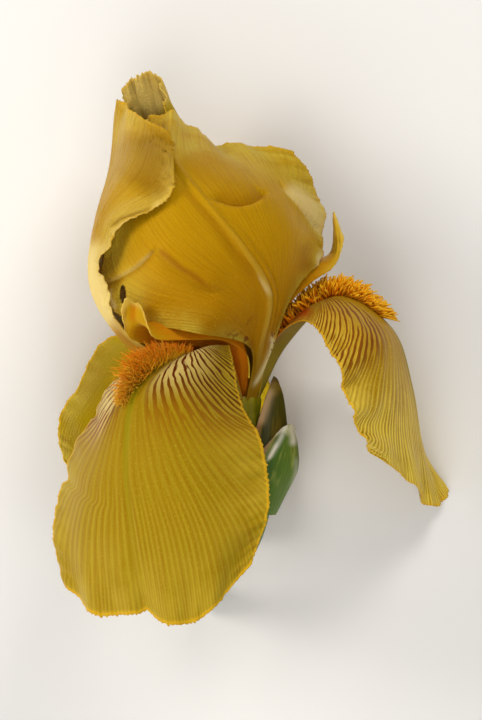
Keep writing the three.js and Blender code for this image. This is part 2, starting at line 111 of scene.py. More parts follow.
# The seat of a bract: distance from the stem's middle, and where each vein starts, in degrees round it
BRACT_RING = 4.5
BRACT_TURNS = (-25.0, 30.0, 90.0, 150.0, 205.0)

# Where each piece springs from, in degrees round the tube: 0 faces up, 90 is the bloom's right
FRONT_FALL, RIGHT_FALL, BACK_FALL = -35.0, 85.0, 205.0
RIGHT_STANDARD, BACK_STANDARD, LEFT_STANDARD = 25.0, 145.0, 265.0

# Veins of each blade, from one margin over the midrib to the other, each from the seat outwards
FALL_FRONT_VEINS: Net = (
    ((-8.5, -4.5, 41), (-20, -2, 46), (-33, -8, 50),
     (-41, -20, 49), (-47.5, -38, 49), (-46, -59, 52)),
    ((-8, -3.5, 43.5), (-20, -1.5, 51.5), (-31, -9, 60.5),
     (-37, -24, 64), (-39.5, -43, 64), (-37.5, -66.2, 62)),
    ((-7, -4.2, 45), (-16.5, -1.6, 56), (-27.8, -10.2, 64.9),
     (-30.2, -26.8, 70.8), (-28.3, -46, 71), (-25.5, -66, 68)),
    ((-5.2, -4, 46), (-10.5, 0.5, 56), (-15.5, -9, 68),
     (-15, -26, 75), (-12.5, -45, 76), (-13, -67.6, 72.5)),
    ((-3.6, -5.2, 45.5), (-5.2, 0.9, 51.5), (-2.8, -11, 61),
     (3, -24, 70), (4.4, -38.5, 74), (0, -53, 73)),
)
FALL_RIGHT_VEINS: Net = (
    ((5.2, 1.2, 42), (13.5, 7.2, 49), (20.2, -0.8, 56),
     (24, -11.5, 56), (27, -19.8, 51), (31, -26, 43)),
    ((7.3, 2.4, 39.8), (17.5, 11.3, 45.5), (30, 3.8, 49),
     (34, -8, 47.5), (36.2, -20.5, 39), (40.6, -33.2, 27)),
    ((9.2, 1.8, 36.5), (22, 13.2, 35.5), (35.2, 5.2, 33),
     (40.2, -9, 28), (42.6, -24, 21), (45, -39.2, 12.5)),
    ((8.8, 2.6, 33.5), (21.5, 11.7, 27), (34, 3, 20),
     (39, -10, 13.5), (42.6, -22.5, 7.5), (49.6, -38.4, 4)),
    ((7.6, 2.6, 31), (17, 8, 20), (27, -1, 10.5),
     (32.5, -11.5, 4.5), (39, -20, 1), (48.8, -33.8, 0)),
)
FALL_BACK_VEINS: Net = (
    ((-1, -3, 22), (1, 2, 13.5), (4, -4, 8.5),
     (6, -18, 6), (5, -33, 6.5), (0.5, -44, 8)),
    ((-3, -2, 21.5), (-6, 4, 12.5), (-8.5, -2, 4.5),
     (-9, -18, 0), (-9.5, -34, 0.2), (-10.5, -47.5, 4)),
    ((-6, -3, 23), (-13, 3, 14), (-20, -3, 5),
     (-23, -18, -0.4), (-24, -35, 0.2), (-24, -50, 5)),
    ((-8, -2.5, 26), (-18, 3.5, 19), (-28.5, 0, 12),
     (-36, -14, 7.5), (-38.5, -29, 7), (-36, -43, 8)),
    ((-9.5, -3.5, 28.5), (-22, 2.5, 23.5), (-35, 3, 19.5),
     (-45, -11, 17), (-48.8, -23, 14), (-43.5, -33, 12)),
)
STANDARD_RIGHT_VEINS: Net = (
    ((0, 0.6, 46), (-14, 5.3, 57), (-31.2, 10, 52.4),
     (-35.8, 20.3, 49.6), (-32.8, 36.5, 51.8), (-29.5, 52, 42)),
    ((1.2, 0.6, 46.2), (-5.5, 11.5, 58), (-17, 19.5, 62.5),
     (-24, 30, 60), (-26, 41.5, 53.5), (-26.5, 56.5, 40.5)),
    ((2.4, 0.2, 45.4), (4.6, 13.5, 53.5), (-1.5, 24.8, 60),
     (-10.7, 36, 61.6), (-18.5, 46.5, 57), (-19, 58.6, 42.5)),
    ((3.5, 0, 44.6), (8, 14, 51), (9.8, 25.5, 54.5),
     (6.5, 36, 54.5), (-0.5, 44.5, 50), (-8.2, 51.4, 39.5)),
    ((4.5, -0.4, 43.2), (9.6, 13, 46.5), (16.8, 21.8, 42),
     (18.4, 32, 37), (15.8, 41.5, 36), (9.5, 51.2, 38)),
)
STANDARD_LEFT_VEINS: Net = (
    ((-15, -6.5, 31.5), (-27.5, 4, 24), (-30, 15.5, 13),
     (-30, 32, 12), (-32.4, 47.5, 19), (-33, 57.5, 28)),
    ((-16.5, -7.2, 33.4), (-31, 2.5, 30.5), (-37, 16, 25.5),
     (-36, 32, 23), (-34, 48.5, 27), (-33, 61, 31.5)),
    ((-17, -7, 36), (-31.6, 2.3, 36), (-39.3, 16, 35.5),
     (-38.4, 32, 35), (-34.2, 47.5, 35), (-32.2, 62.2, 36)),
    ((-16.8, -6.2, 38.2), (-31.8, 3.8, 42), (-39.2, 16, 45.5),
     (-37.4, 31.5, 50), (-29.5, 46, 56), (-27.5, 58, 49)),
    ((-16, -5.5, 39.8), (-31.1, 4.5, 48.2), (-36.4, 16.4, 54.3),
     (-34.3, 28.4, 57.8), (-19.3, 38.8, 63.6), (-20.3, 54, 57.5)),
)
STANDARD_BACK_VEINS: Net = (
    ((5.5, 1, 29.5), (11, 14, 28), (14.5, 26, 29),
     (11, 36.5, 29.5), (-9.5, 46, 31), (-20.6, 59.5, 35)),
    ((5.5, 1, 27), (10, 14, 19.5), (10.5, 27, 14),
     (5, 38, 11.5), (-12.5, 48.5, 26.5), (-21.8, 65, 34)),
    ((4, 1, 25), (6, 14, 14.5), (2.5, 27.5, 5),
     (-6, 40, -0.3), (-18, 51.5, 25), (-24.3, 69.6, 33)),
    ((2, 0.5, 24.2), (-1, 12.5, 14.5), (-9, 26, 6),
     (-18.6, 39.5, 4.4), (-25, 53, 25), (-29.2, 68, 32.5)),
    ((-1, 0, 25), (-11, 11, 18), (-23.5, 24, 14.5),
     (-27, 38.5, 15.5), (-29.4, 52, 25.5), (-32, 65.2, 32)),
)
SPATHE_OUTER_VEINS: Net = (
    ((-1.5, -36.5, 41.6), (-0.5, -31.5, 43.8), (2.8, -25.3, 44), (8, -19.4, 41.9)),
    ((4.6, -36.5, 42.1), (6, -31.5, 43.6), (7.5, -25, 43.4), (9.1, -18.8, 41.8)),
    ((8.6, -36, 36), (11.5, -30, 36), (11.6, -24.5, 36.5), (10.5, -18.5, 39.2)),
    ((4.6, -36.5, 29.8), (6, -31.5, 28.3), (7.5, -25, 29), (11.4, -19.6, 35.6)),
    ((-1.5, -36.5, 30.2), (-0.5, -31.5, 27.8), (3, -25.5, 27.3), (10, -20.8, 31.8)),
)
SPATHE_INNER_VEINS: Net = (
    ((-1.4, -31, 41), (0.6, -22.5, 40.9), (3.2, -14, 39.4), (5.9, -6.6, 36.3)),
    ((4.4, -31, 41.4), (5, -22.5, 40.6), (5.7, -14, 38.4), (6.6, -7.1, 36.1)),
    ((9, -30, 35.7), (9, -20.5, 35.3), (8.2, -13, 35.4), (7.1, -8, 35.5)),
    ((4.4, -31, 30.4), (5, -22.5, 30.6), (5.7, -14, 32.6), (6.6, -7.1, 34.9)),
    ((-1.4, -31, 31), (0.6, -22.5, 30.5), (3.2, -14, 31.6), (5.9, -6.6, 34.7)),
)
ARM_FRONT_VEINS: Net = (
    ((-4.5, -2.6, 42.5), (-11, 0.5, 46.5), (-20, 0.8, 49.5), (-29.5, 2.8, 54), (-31.8, 9.5, 59)),
    ((-4.2, 0.2, 44), (-11.5, 4.6, 49), (-20.5, 6, 51.5), (-29, 5.3, 56), (-30.4, 12.8, 59)),
    ((-3.2, 1.6, 45), (-10, 6.4, 50.5), (-19, 7.4, 52.6), (-27, 6.6, 57.2), (-28.5, 11.6, 58)),
    ((-1.6, 1, 45), (-8, 5.8, 51.5), (-17, 6, 54.1), (-24.8, 5.3, 59.3), (-27, 11, 59)),
    ((-0.9, -2, 44), (-6.5, 2.2, 51.2), (-15.5, 2.4, 55.3), (-23.3, 2.8, 59.8), (-25.8, 8, 61.5)),
)
ARM_RIGHT_VEINS: Net = (
    ((4.6, 0.5, 39.5), (9, 10.5, 41), (15.5, 17, 42), (21, 21, 42), (23.5, 27.5, 41)),
    ((3.8, 2, 38), (8.2, 13, 39.3), (14.5, 19.8, 40.5), (21.6, 24, 41.5), (20.9, 34.3, 40.5)),
    ((3.6, 2.5, 36), (8, 13.8, 36), (14.2, 20.8, 36.5), (20, 23.8, 36.5), (21.3, 28.5, 36.5)),
    ((3.8, 2, 34), (8.2, 13, 32.7), (14.5, 19.8, 32.5), (21.6, 24, 32), (20.9, 33.5, 33)),
    ((4.6, 0.5, 32.5), (9, 10.5, 31), (15.5, 17, 30.5), (21, 21, 30.5), (23.5, 27.5, 31.5)),
)
ARM_BACK_VEINS: Net = (
    ((-2, -2.5, 28), (-6, 4.5, 20.5), (-12, 7.5, 13.5), (-17, 10, 12), (-19.5, 15.5, 14.5)),
    ((-2.8, -0.8, 28.8), (-8, 7.5, 22), (-14.5, 11, 16.5), (-20, 13, 14.5), (-20.5, 20, 18.5)),
    ((-3.6, -0.4, 30), (-9.8, 8, 24), (-17, 11.5, 18.5), (-22.5, 12.5, 17), (-23, 17, 19.5)),
    ((-4.4, -0.8, 31.4), (-11.5, 7.5, 26), (-19, 10.5, 21), (-25, 12, 19.5), (-24.5, 18.5, 22)),
    ((-4.6, -2.5, 32.6), (-13, 4.5, 28), (-20.5, 6.5, 23.5), (-26, 8, 22.5), (-26.5, 13.5, 24)),
)


class Face(Enum):
    """Which side of a drawn sheet is the one a finish is made for."""

    DRAWN = 1
    TURNED = -1


class Map(Enum):
    """The surface maps that the finishes read."""

    BLADE = "blade"
    SPAN = "span"
    # Painted shade, painted highlights and darker or paler tissue, laid by the strokes
    TONE = "tone"


def smoothstep(value: Array, low: float, high: float) -> Array:
    """Ease from 0 at low to 1 at high.

    Args:
        value: Numbers to ease.
        low: Where the result leaves 0.
        high: Where the result reaches 1, which may lie below low.

    Returns:
        The eased numbers.
    """
    part = np.clip((value - low) / (high - low), 0.0, 1.0)
    return part * part * (3.0 - 2.0 * part)


def bell(distance: Array, width: Array | float) -> Array:
    """Fall off smoothly on both sides of nought, where the result is 1."""
    return np.exp(-((distance / width) ** 2))


def faded_ends(reach: Array, fade: float) -> Array:
    """Weigh stations from 0 to 1 along a line: 1 between its ends, down to 0 over the fade at either."""
    return smoothstep(reach, 0.0, fade) * smoothstep(1 - reach, 0.0, fade)


def near_margin(distance: Array, reach: float) -> Array:
    """Weigh points by their distance from a margin: 1 on it, 0 from the reach inwards."""
    return smoothstep(reach - distance, 0.0, reach)


def spline_weights(count: int, along: Array) -> Array:
    """Weigh the points of a smooth open curve.

    Args:
        count: How many points the curve has.
        along: Stations on the curve, from 0 to 1.

    Returns:
        One row of weights for each station, one column for each point.
    """
    reach = np.clip(along, 0.0, 1.0) * (count - 1)
    left = np.minimum(reach.astype(int), count - 2)
    share = reach - left
    square, cube = share * share, share * share * share
    basis = 0.5 * np.stack(
        (
            2 * square - share - cube,
            2 - 5 * square + 3 * cube,
            share + 4 * square - 3 * cube,
            cube - square,
        ),
        -1,
    )
    weights = np.zeros((len(along), count + 2))
    rows = np.arange(len(along))
    for step in range(4):
        weights[rows, left + step] += basis[:, step]
    first, last = weights[:, 0].copy(), weights[:, -1].copy()
    weights[:, 1] += 2 * first
    weights[:, 2] -= first
    weights[:, -2] += 2 * last
    weights[:, -3] -= last
    return weights[:, 1:-1]


def curve_at(points: Array, along: Array) -> Array:
    """Read a smooth curve.

    Args:
        points: The points it goes through, one row each.
        along: Stations on it, from 0 to 1.

    Returns:
        One row for each station.
    """
    return spline_weights(len(points), along) @ points


def seat_point(azimuth: float, out: float, sideways: float, lift: float) -> Point:
    """Place a point by the tube's rim.

    Args:
        azimuth: Degrees round the tube.
        out: Millimetres from the tube's axis.
        sideways: Millimetres along the rim from there.
        lift: Millimetres over the rim.

    Returns:
        The point in the drawing.
    """
    angle = math.radians(azimuth)
    across = out * math.sin(angle) + sideways * math.cos(angle)
    depth = out * math.cos(angle) - sideways * math.sin(angle)
    return (SEAT[0] + across, SEAT[1] + across * AXIS_LEAN + lift, SEAT[2] + depth)


def seated(net: Net, azimuth: float, ring: float, half_width: float, lift: float = 0.0) -> Array:
    """Start each vein of a blade at the tube's rim.

    Args:
        net: The veins beyond the seat.
        azimuth: Degrees round the tube where the blade springs from.
        ring: Distance of the seat from the tube's axis.
        half_width: Half the seat's width.
        lift: Height of the seat over the rim.

    Returns:
        The veins with their seats, by vein, point and axis.
    """
    veins = []
    for index, vein in enumerate(net):
        sideways = (index / 2 - 1) * half_width
        veins.append((seat_point(azimuth, ring, sideways, lift), *vein))
    return np.array(veins, float)


def sheathed(net: Net, seat: Point) -> Array:
    """Start each vein of a bract round the stem.

    Args:
        net: The veins beyond the seat.
        seat: The middle of the stem where the bract springs from.

    Returns:
        The veins with their seats, by vein, point and axis.
    """
    veins = []
    for turn, vein in zip(BRACT_TURNS, net):
        angle = math.radians(turn)
        start = (seat[0] + BRACT_RING * math.sin(angle), seat[1], seat[2] + BRACT_RING * math.cos(angle))
        veins.append((start, *vein))
    return np.array(veins, float)


@dataclass(frozen=True)
class Skin:
    """A smooth skin through veins: u runs from -1 to 1 across it, v from 0 to 1 along it."""

    veins: Array

    def point(self, u: Array, v: Array) -> Array:
        """Read the skin.

        Args:
            u: Stations across.
            v: Stations along, one for each of u.

        Returns:
            One point for each station.
        """
        across = spline_weights(self.veins.shape[0], (u + 1) / 2)
        along = spline_weights(self.veins.shape[1], v)
        return np.einsum("ki,kj,ijc->kc", across, along, self.veins)

    def steps(self, u: Array, v: Array) -> tuple[Array, Array]:
        """Find the directions across and along the skin.

        Args:
            u: Stations across.
            v: Stations along.

        Returns:
            The unit directions of growing u and of growing v.
        """
        across = self.point(np.minimum(1, u + STEP), v) - self.point(np.maximum(-1, u - STEP), v)
        along = self.point(u, np.minimum(1, v + STEP)) - self.point(u, np.maximum(0, v - STEP))
        return unit(across), unit(along)

    def facing(self, u: Array, v: Array) -> Array:
        """Find the direction that the drawn side of the skin faces at each station."""
        across, along = self.steps(u, v)
        return unit(np.cross(across, along))

    def half_width(self, v: Array) -> Array:
        """Measure how many millimetres one unit of u spans by the midrib.

        Args:
            v: Stations along.

        Returns:
            Half the blade's width at each station, measured by the midrib.
        """
        aside = 0.05
        sample = np.full_like(v, aside)
        return np.linalg.norm(self.point(sample, v) - self.point(-sample, v), axis=1) / (2 * aside)

    def length_to(self, v: Array) -> Array:
        """Measure the midrib from the seat to each station, in millimetres.

        Args:
            v: Stations along.

        Returns:
            The length to each station.
        """
        count = 200
        stations = np.linspace(0, 1, count)
        midrib = self.point(np.zeros(count), stations)
        steps = np.linalg.norm(np.diff(midrib, axis=0), axis=1)
        return np.interp(v, stations, np.concatenate(((0.0,), np.cumsum(steps))))


def unit(vectors: Array) -> Array:
    """Scale each row to length one."""
    return vectors / np.maximum(np.linalg.norm(vectors, axis=-1, keepdims=True), 1e-9)


def keep_mesh(draft: bmesh.types.BMesh, name: str) -> bpy.types.Mesh:
    """Turn a draft into a mesh and free it.

    Args:
        draft: What has been modelled.
        name: The mesh's name.

    Returns:
        The mesh.
    """
    mesh = bpy.data.meshes.new(name)
    draft.to_mesh(mesh)
    draft.free()
    return mesh


def straight_rod(name: str, sides: int, rings: int, foot: float) -> bpy.types.Mesh:
    """Make a round rod of radius one and height one.

    Args:
        name: The mesh's name.
        sides: How many faces go round it.
        rings: How many rings it has from foot to top.
        foot: Height of its foot.

    Returns:
        The rod.
    """
    rod = bmesh.new()
    bmesh.ops.create_cone(
        rod, cap_ends=True, cap_tris=True, segments=sides, radius1=1.0, radius2=1.0, depth=1.0,
        matrix=Matrix.Translation((0, 0, foot + 0.5)),
    )
    for ring in range(1, rings):
        parts = rod.verts[:] + rod.edges[:] + rod.faces[:]
        bmesh.ops.bisect_plane(rod, geom=parts, plane_co=(0, 0, ring / rings + foot), plane_no=(0, 0, 1))
    return keep_mesh(rod, name)


def read_points(mesh: bpy.types.Mesh) -> Array:
    """Read a mesh's points, one row each.

    Args:
        mesh: The mesh to read.

    Returns:
        The places of its points.
    """
    flat = np.empty(len(mesh.vertices) * 3)
    mesh.vertices.foreach_get("co", flat)
    return flat.reshape(-1, 3)


def settle(mesh: bpy.types.Mesh, drawn: Array) -> None:
    """Move a mesh's points to their drawn places, in the frame's metres.

    Args:
        mesh: The mesh to shape.
        drawn: One place for each point, in the drawing's millimetres.
    """
    mesh.vertices.foreach_set("co", ((drawn - DRAWN_ORIGIN) * MM).ravel())
    mesh.update()


def add_map(mesh: bpy.types.Mesh, name: Map, across: Array, along: Array) -> None:
    """Give a mesh a surface map.

    Args:
        mesh: The mesh to mark.
        name: Which map it is.
        across: The first number at each point.
        along: The second number at each point.
    """
    corners = np.empty(len(mesh.loops), np.int32)
    mesh.loops.foreach_get("vertex_index", corners)
    layer = mesh.uv_layers.new(name=name.value)
    layer.data.foreach_set("uv", np.stack((across[corners], along[corners]), -1).astype(np.float32).ravel())


def present(
    mesh: bpy.types.Mesh, name: str, node: str, finishes: list[bpy.types.Material],
) -> bpy.types.Object:
    """Stand a finished mesh in the scene in place of its solid.

    Args:
        mesh: The finished mesh.
        name: The piece's name.
        node: The solid it stands for.
        finishes: Its materials, in the mesh's order.

    Returns:
        The piece.
    """
    for finish in finishes:
        mesh.materials.append(finish)
    mesh.shade_smooth()
    piece = bpy.data.objects.new(name, mesh)
    bpy.context.scene.collection.objects.link(piece)
    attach(piece, "root")
    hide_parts(node)
    return piece


def vein_place(u: Array, v: Array, spread: float) -> Array:
    """Find which vein runs through each station: veins bend outwards past the haft.

    Args:
        u: Stations across.
        v: Stations along.
        spread: How strongly they bend.

    Returns:
        The vein's place across the haft, from -1 to 1.
    """
    past_haft = np.maximum(0, (v - HAFT) / (1 - HAFT))
    return u / (1 + spread * past_haft)


def tooth_line(length: float, pitch: float, height: float, rng: np.random.Generator) -> tuple[Array, Array]:
    """Draw the irregular teeth along a margin.

    Args:
        length: Length of the margin.
        pitch: Mean distance from tooth to tooth.
        height: Height of the tallest tooth.
        rng: Source of the draws.

    Returns:
        Stations along the margin and the height at each.
    """
    # Enough teeth to fill the margin, however narrow they come out
    count = int(1.6 * length / pitch) + 4
    feet = np.cumsum(pitch * rng.uniform(0.6, 1.4, count)) - pitch
    tips = feet[:-1] + np.diff(feet) * rng.uniform(0.35, 0.75, count - 1)
    stations = np.stack((feet[:-1], tips), -1).ravel()
    low = -0.35 * height * rng.uniform(0.2, 1.0, count - 1)
    high = height * rng.uniform(0.15, 1.0, count - 1) ** 1.4
    return stations, np.stack((low, high), -1).ravel()


def ripple(count: int, rng: np.random.Generator) -> Array:
    """Draw a row of soft random heights from -1 to 1, to be read by curve_at."""
    return rng.uniform(-1.0, 1.0, (count, 1))


# Shading

# The numbers of a Mix node's colour sockets
MIX_FIRST, MIX_SECOND, MIX_RESULT = 6, 7, 2


def linear(code: str) -> tuple[float, float, float, float]:
    """Turn a screen colour into scene light.

    Args:
        code: Six hexadecimal digits.

    Returns:
        Red, green, blue and a full alpha.
    """
    parts = [int(code[i:i + 2], 16) / 255 for i in (0, 2, 4)]
    # The standard curve of a screen
    light = [c / 12.92 if c <= 0.04045 else ((c + 0.055) / 1.055) ** 2.4 for c in parts]
    return (*light, 1.0)


class Signal:
    """A number that varies over a surface. Arithmetic on it adds Math nodes."""

    def __init__(self, shader: "Shader", socket: bpy.types.NodeSocket) -> None:
        """Wrap a socket.

        Args:
            shader: The finish it belongs to.
            socket: The output that carries the number.
        """
        self.shader = shader
        self.socket = socket

    def math(self, operation: str, *others: "Signal | float") -> "Signal":
        """Add one Math node to this number.

        Args:
            operation: The node's operation.
            others: What follows this number in it.

        Returns:
            The result.
        """
        return self.shader.math(operation, self, *others)

    def __add__(self, other: "Signal | float") -> "Signal":
        """Add."""
        return self.math("ADD", other)

    __radd__ = __add__

    def __sub__(self, other: "Signal | float") -> "Signal":
        """Subtract."""
        return self.math("SUBTRACT", other)

    def __rsub__(self, other: float) -> "Signal":
        """Subtract from a number."""
        return self.shader.math("SUBTRACT", other, self)

    def __mul__(self, other: "Signal | float") -> "Signal":
        """Multiply."""
        return self.math("MULTIPLY", other)

    __rmul__ = __mul__

    def __truediv__(self, other: "Signal | float") -> "Signal":
        """Divide."""
        return self.math("DIVIDE", other)

    def __neg__(self) -> "Signal":
        """Turn the sign."""
        return self.math("MULTIPLY", -1.0)

    def __abs__(self) -> "Signal":
        """Drop the sign."""
        return self.math("ABSOLUTE")

    def sine(self) -> "Signal":
        """Take the sine."""
        return self.math("SINE")

    def most(self, other: "Signal | float") -> "Signal":
        """Keep the larger of two."""
        return self.math("MAXIMUM", other)


Tint = str | bpy.types.NodeSocket
NodeValue = float | tuple | bpy.types.NodeSocket | Signal


class Shader:
    """A finish while it is being made: one Principled surface and the nodes that feed it."""

    def __init__(self, name: str) -> None:
        """Start a finish.

        Args:
            name: The material's name.
        """
        self.material = bpy.data.materials.new(name)
        self.material.use_nodes = True
        self.tree = self.material.node_tree
        self.surface = next(n for n in self.tree.nodes if n.type == "BSDF_PRINCIPLED")

    def node(
        self, kind: str, settings: dict[str, object], inputs: dict[str | int, NodeValue],
    ) -> bpy.types.Node:
        """Add a node.

        Args:
            kind: The node's type.
            settings: Its properties, set first.
            inputs: Values or links of its sockets, by name or number.

        Returns:
            The node.
        """
        made = self.tree.nodes.new(kind)
        for key, value in settings.items():
            setattr(made, key, value)
        for key, value in inputs.items():
            self.feed(made.inputs[key], value)
        return made

    def feed(self, socket: bpy.types.NodeSocket, value: NodeValue) -> None:
        """Set or link one socket.

        Args:
            socket: The socket to feed.
            value: A number, a tuple, a socket or a signal.
        """
        if isinstance(value, Signal):
            value = value.socket
        if isinstance(value, bpy.types.NodeSocket):
            self.tree.links.new(value, socket)
        else:
            socket.default_value = value

    def paint(self, socket: bpy.types.NodeSocket, tint: Tint) -> None:
        """Set or link one colour socket.

        Args:
            socket: The socket to feed.
            tint: A colour code or a colour socket.
        """
        self.feed(socket, linear(tint) if isinstance(tint, str) else tint)

    def math(self, operation: str, *values: "Signal | float") -> Signal:
        """Add one Math node.

        Args:
            operation: The node's operation.
            values: Its inputs.

        Returns:
            The result.
        """
        made = self.node("ShaderNodeMath", {"operation": operation}, dict(enumerate(values)))
        return Signal(self, made.outputs[0])

    def map(self, name: Map) -> tuple[Signal, Signal]:
        """Read a surface map.

        Args:
            name: Which map.

        Returns:
            Its two numbers.
        """
        source = self.node("ShaderNodeUVMap", {"uv_map": name.value}, {})
        parts = self.node("ShaderNodeSeparateXYZ", {}, {0: source.outputs[0]})
        return Signal(self, parts.outputs[0]), Signal(self, parts.outputs[1])

    def with_painted_light_and_stains(self, color: bpy.types.NodeSocket, dark: str, pale: str) -> bpy.types.NodeSocket:
        """Lay the blade's strokes over a colour: painted shade and painted highlights, and darker or paler
        tissue.

        Args:
            color: The colour under them.
            dark: The colour of painted shade and of darker tissue.
            pale: The colour of painted highlights and of paler tissue.

        Returns:
            The stained colour.
        """
        deepening, paling = self.map(Map.TONE)
        return self.mix(paling, self.mix(deepening, color, dark), pale)

    def ease(self, value: Signal, low: float, high: float) -> Signal:
        """Ease from 0 at low to 1 at high.

        Args:
            value: The number to ease.
            low: Where the result leaves 0.
            high: Where it reaches 1, which may lie below low.

        Returns:
            The eased number.
        """
        made = self.node(
            "ShaderNodeMapRange",
            {"interpolation_type": "SMOOTHSTEP"},
            {"Value": value, "From Min": low, "From Max": high, "To Min": 0.0, "To Max": 1.0},
        )
        return Signal(self, made.outputs[0])

    def fan(self, u: Signal, v: Signal, spread: float) -> Signal:
        """Find which vein runs through a place, as vein_place does.

        Args:
            u: Place across, from -1 to 1.
            v: Place along, from 0 to 1.
            spread: How strongly the veins bend outwards.

        Returns:
            The vein's place across the haft.
        """
        past_haft = ((v - HAFT) * (1 / (1 - HAFT))).most(0.0)
        return u / (1.0 + past_haft * spread)

    def noise(self, x: "Signal | float", y: "Signal | float", z: float = 0.0, detail: float = 2.0) -> Signal:
        """Read soft noise at a place.

        Args:
            x: First coordinate, in noise cells.
            y: Second coordinate.
            z: Third coordinate, which tells one noise from another.
            detail: How many finer layers it has.

        Returns:
            Noise round one half.
        """
        place = self.node("ShaderNodeCombineXYZ", {}, {0: x, 1: y, 2: z})
        inputs = {"Vector": place.outputs[0], "Scale": 1.0, "Detail": detail, "Roughness": 0.5}
        made = self.node("ShaderNodeTexNoise", {}, inputs)
        return Signal(self, made.outputs[0])

    def mix(self, share: "Signal | float", first: Tint, second: Tint) -> bpy.types.NodeSocket:
        """Mix two colours.

        Args:
            share: How much of the second shows.
            first: A colour code or a colour socket.
            second: A colour code or a colour socket.

        Returns:
            The mixed colour.
        """
        made = self.node("ShaderNodeMix", {"data_type": "RGBA"}, {0: share})
        self.paint(made.inputs[MIX_FIRST], first)
        self.paint(made.inputs[MIX_SECOND], second)
        return made.outputs[MIX_RESULT]

    def finish(
        self,
        color: Tint,
        roughness: "Signal | float" = 0.5,
        height: "Signal | None" = None,
        relief: float = 0.0,
        constants: dict[str, NodeValue] | None = None,
    ) -> bpy.types.Material:
        """Close the finish.

        Args:
            color: Its colour.
            roughness: Its roughness.
            height: Its fine relief, if it has any.
            relief: The relief's depth in millimetres.
            constants: Other sockets of the surface and their fixed values.

        Returns:
            The material.
        """
        self.paint(self.surface.inputs["Base Color"], color)
        self.feed(self.surface.inputs["Roughness"], roughness)
        for name, value in (constants or {}).items():
            self.surface.inputs[name].default_value = value
        if height is not None:
            inputs = {"Height": height, "Distance": relief * MM, "Strength": 1.0}
            bump = self.node("ShaderNodeBump", {}, inputs)
            self.feed(self.surface.inputs["Normal"], bump.outputs[0])
        return self.material


# How light enters and leaves a petal, a hair and a waxy leaf
PETAL_DEPTH = {
    "Subsurface Weight": 0.16,
    "Subsurface Radius": (1.0, 0.7, 0.1),
    "Subsurface Scale": 0.0009,
    "Sheen Weight": 0.03,
    "Sheen Roughness": 0.4,
    "Sheen Tint": linear("ffd970"),
    "Specular IOR Level": 0.24,
    "Specular Tint": linear("ffcf50"),
}
HAIR_DEPTH = {
    "Subsurface Weight": 0.15,
    "Subsurface Radius": (1.0, 0.5, 0.1),
    "Subsurface Scale": 0.0006,
    "Specular IOR Level": 0.2,
    "Specular Tint": linear("ffb848"),
}
WAXY = {
    "Subsurface Weight": 0.08,
    "Subsurface Radius": (0.5, 0.9, 0.3),
    "Subsurface Scale": 0.001,
    "Coat Weight": 0.04,
    "Coat Roughness": 0.5,
    "Specular IOR Level": 0.2,
}


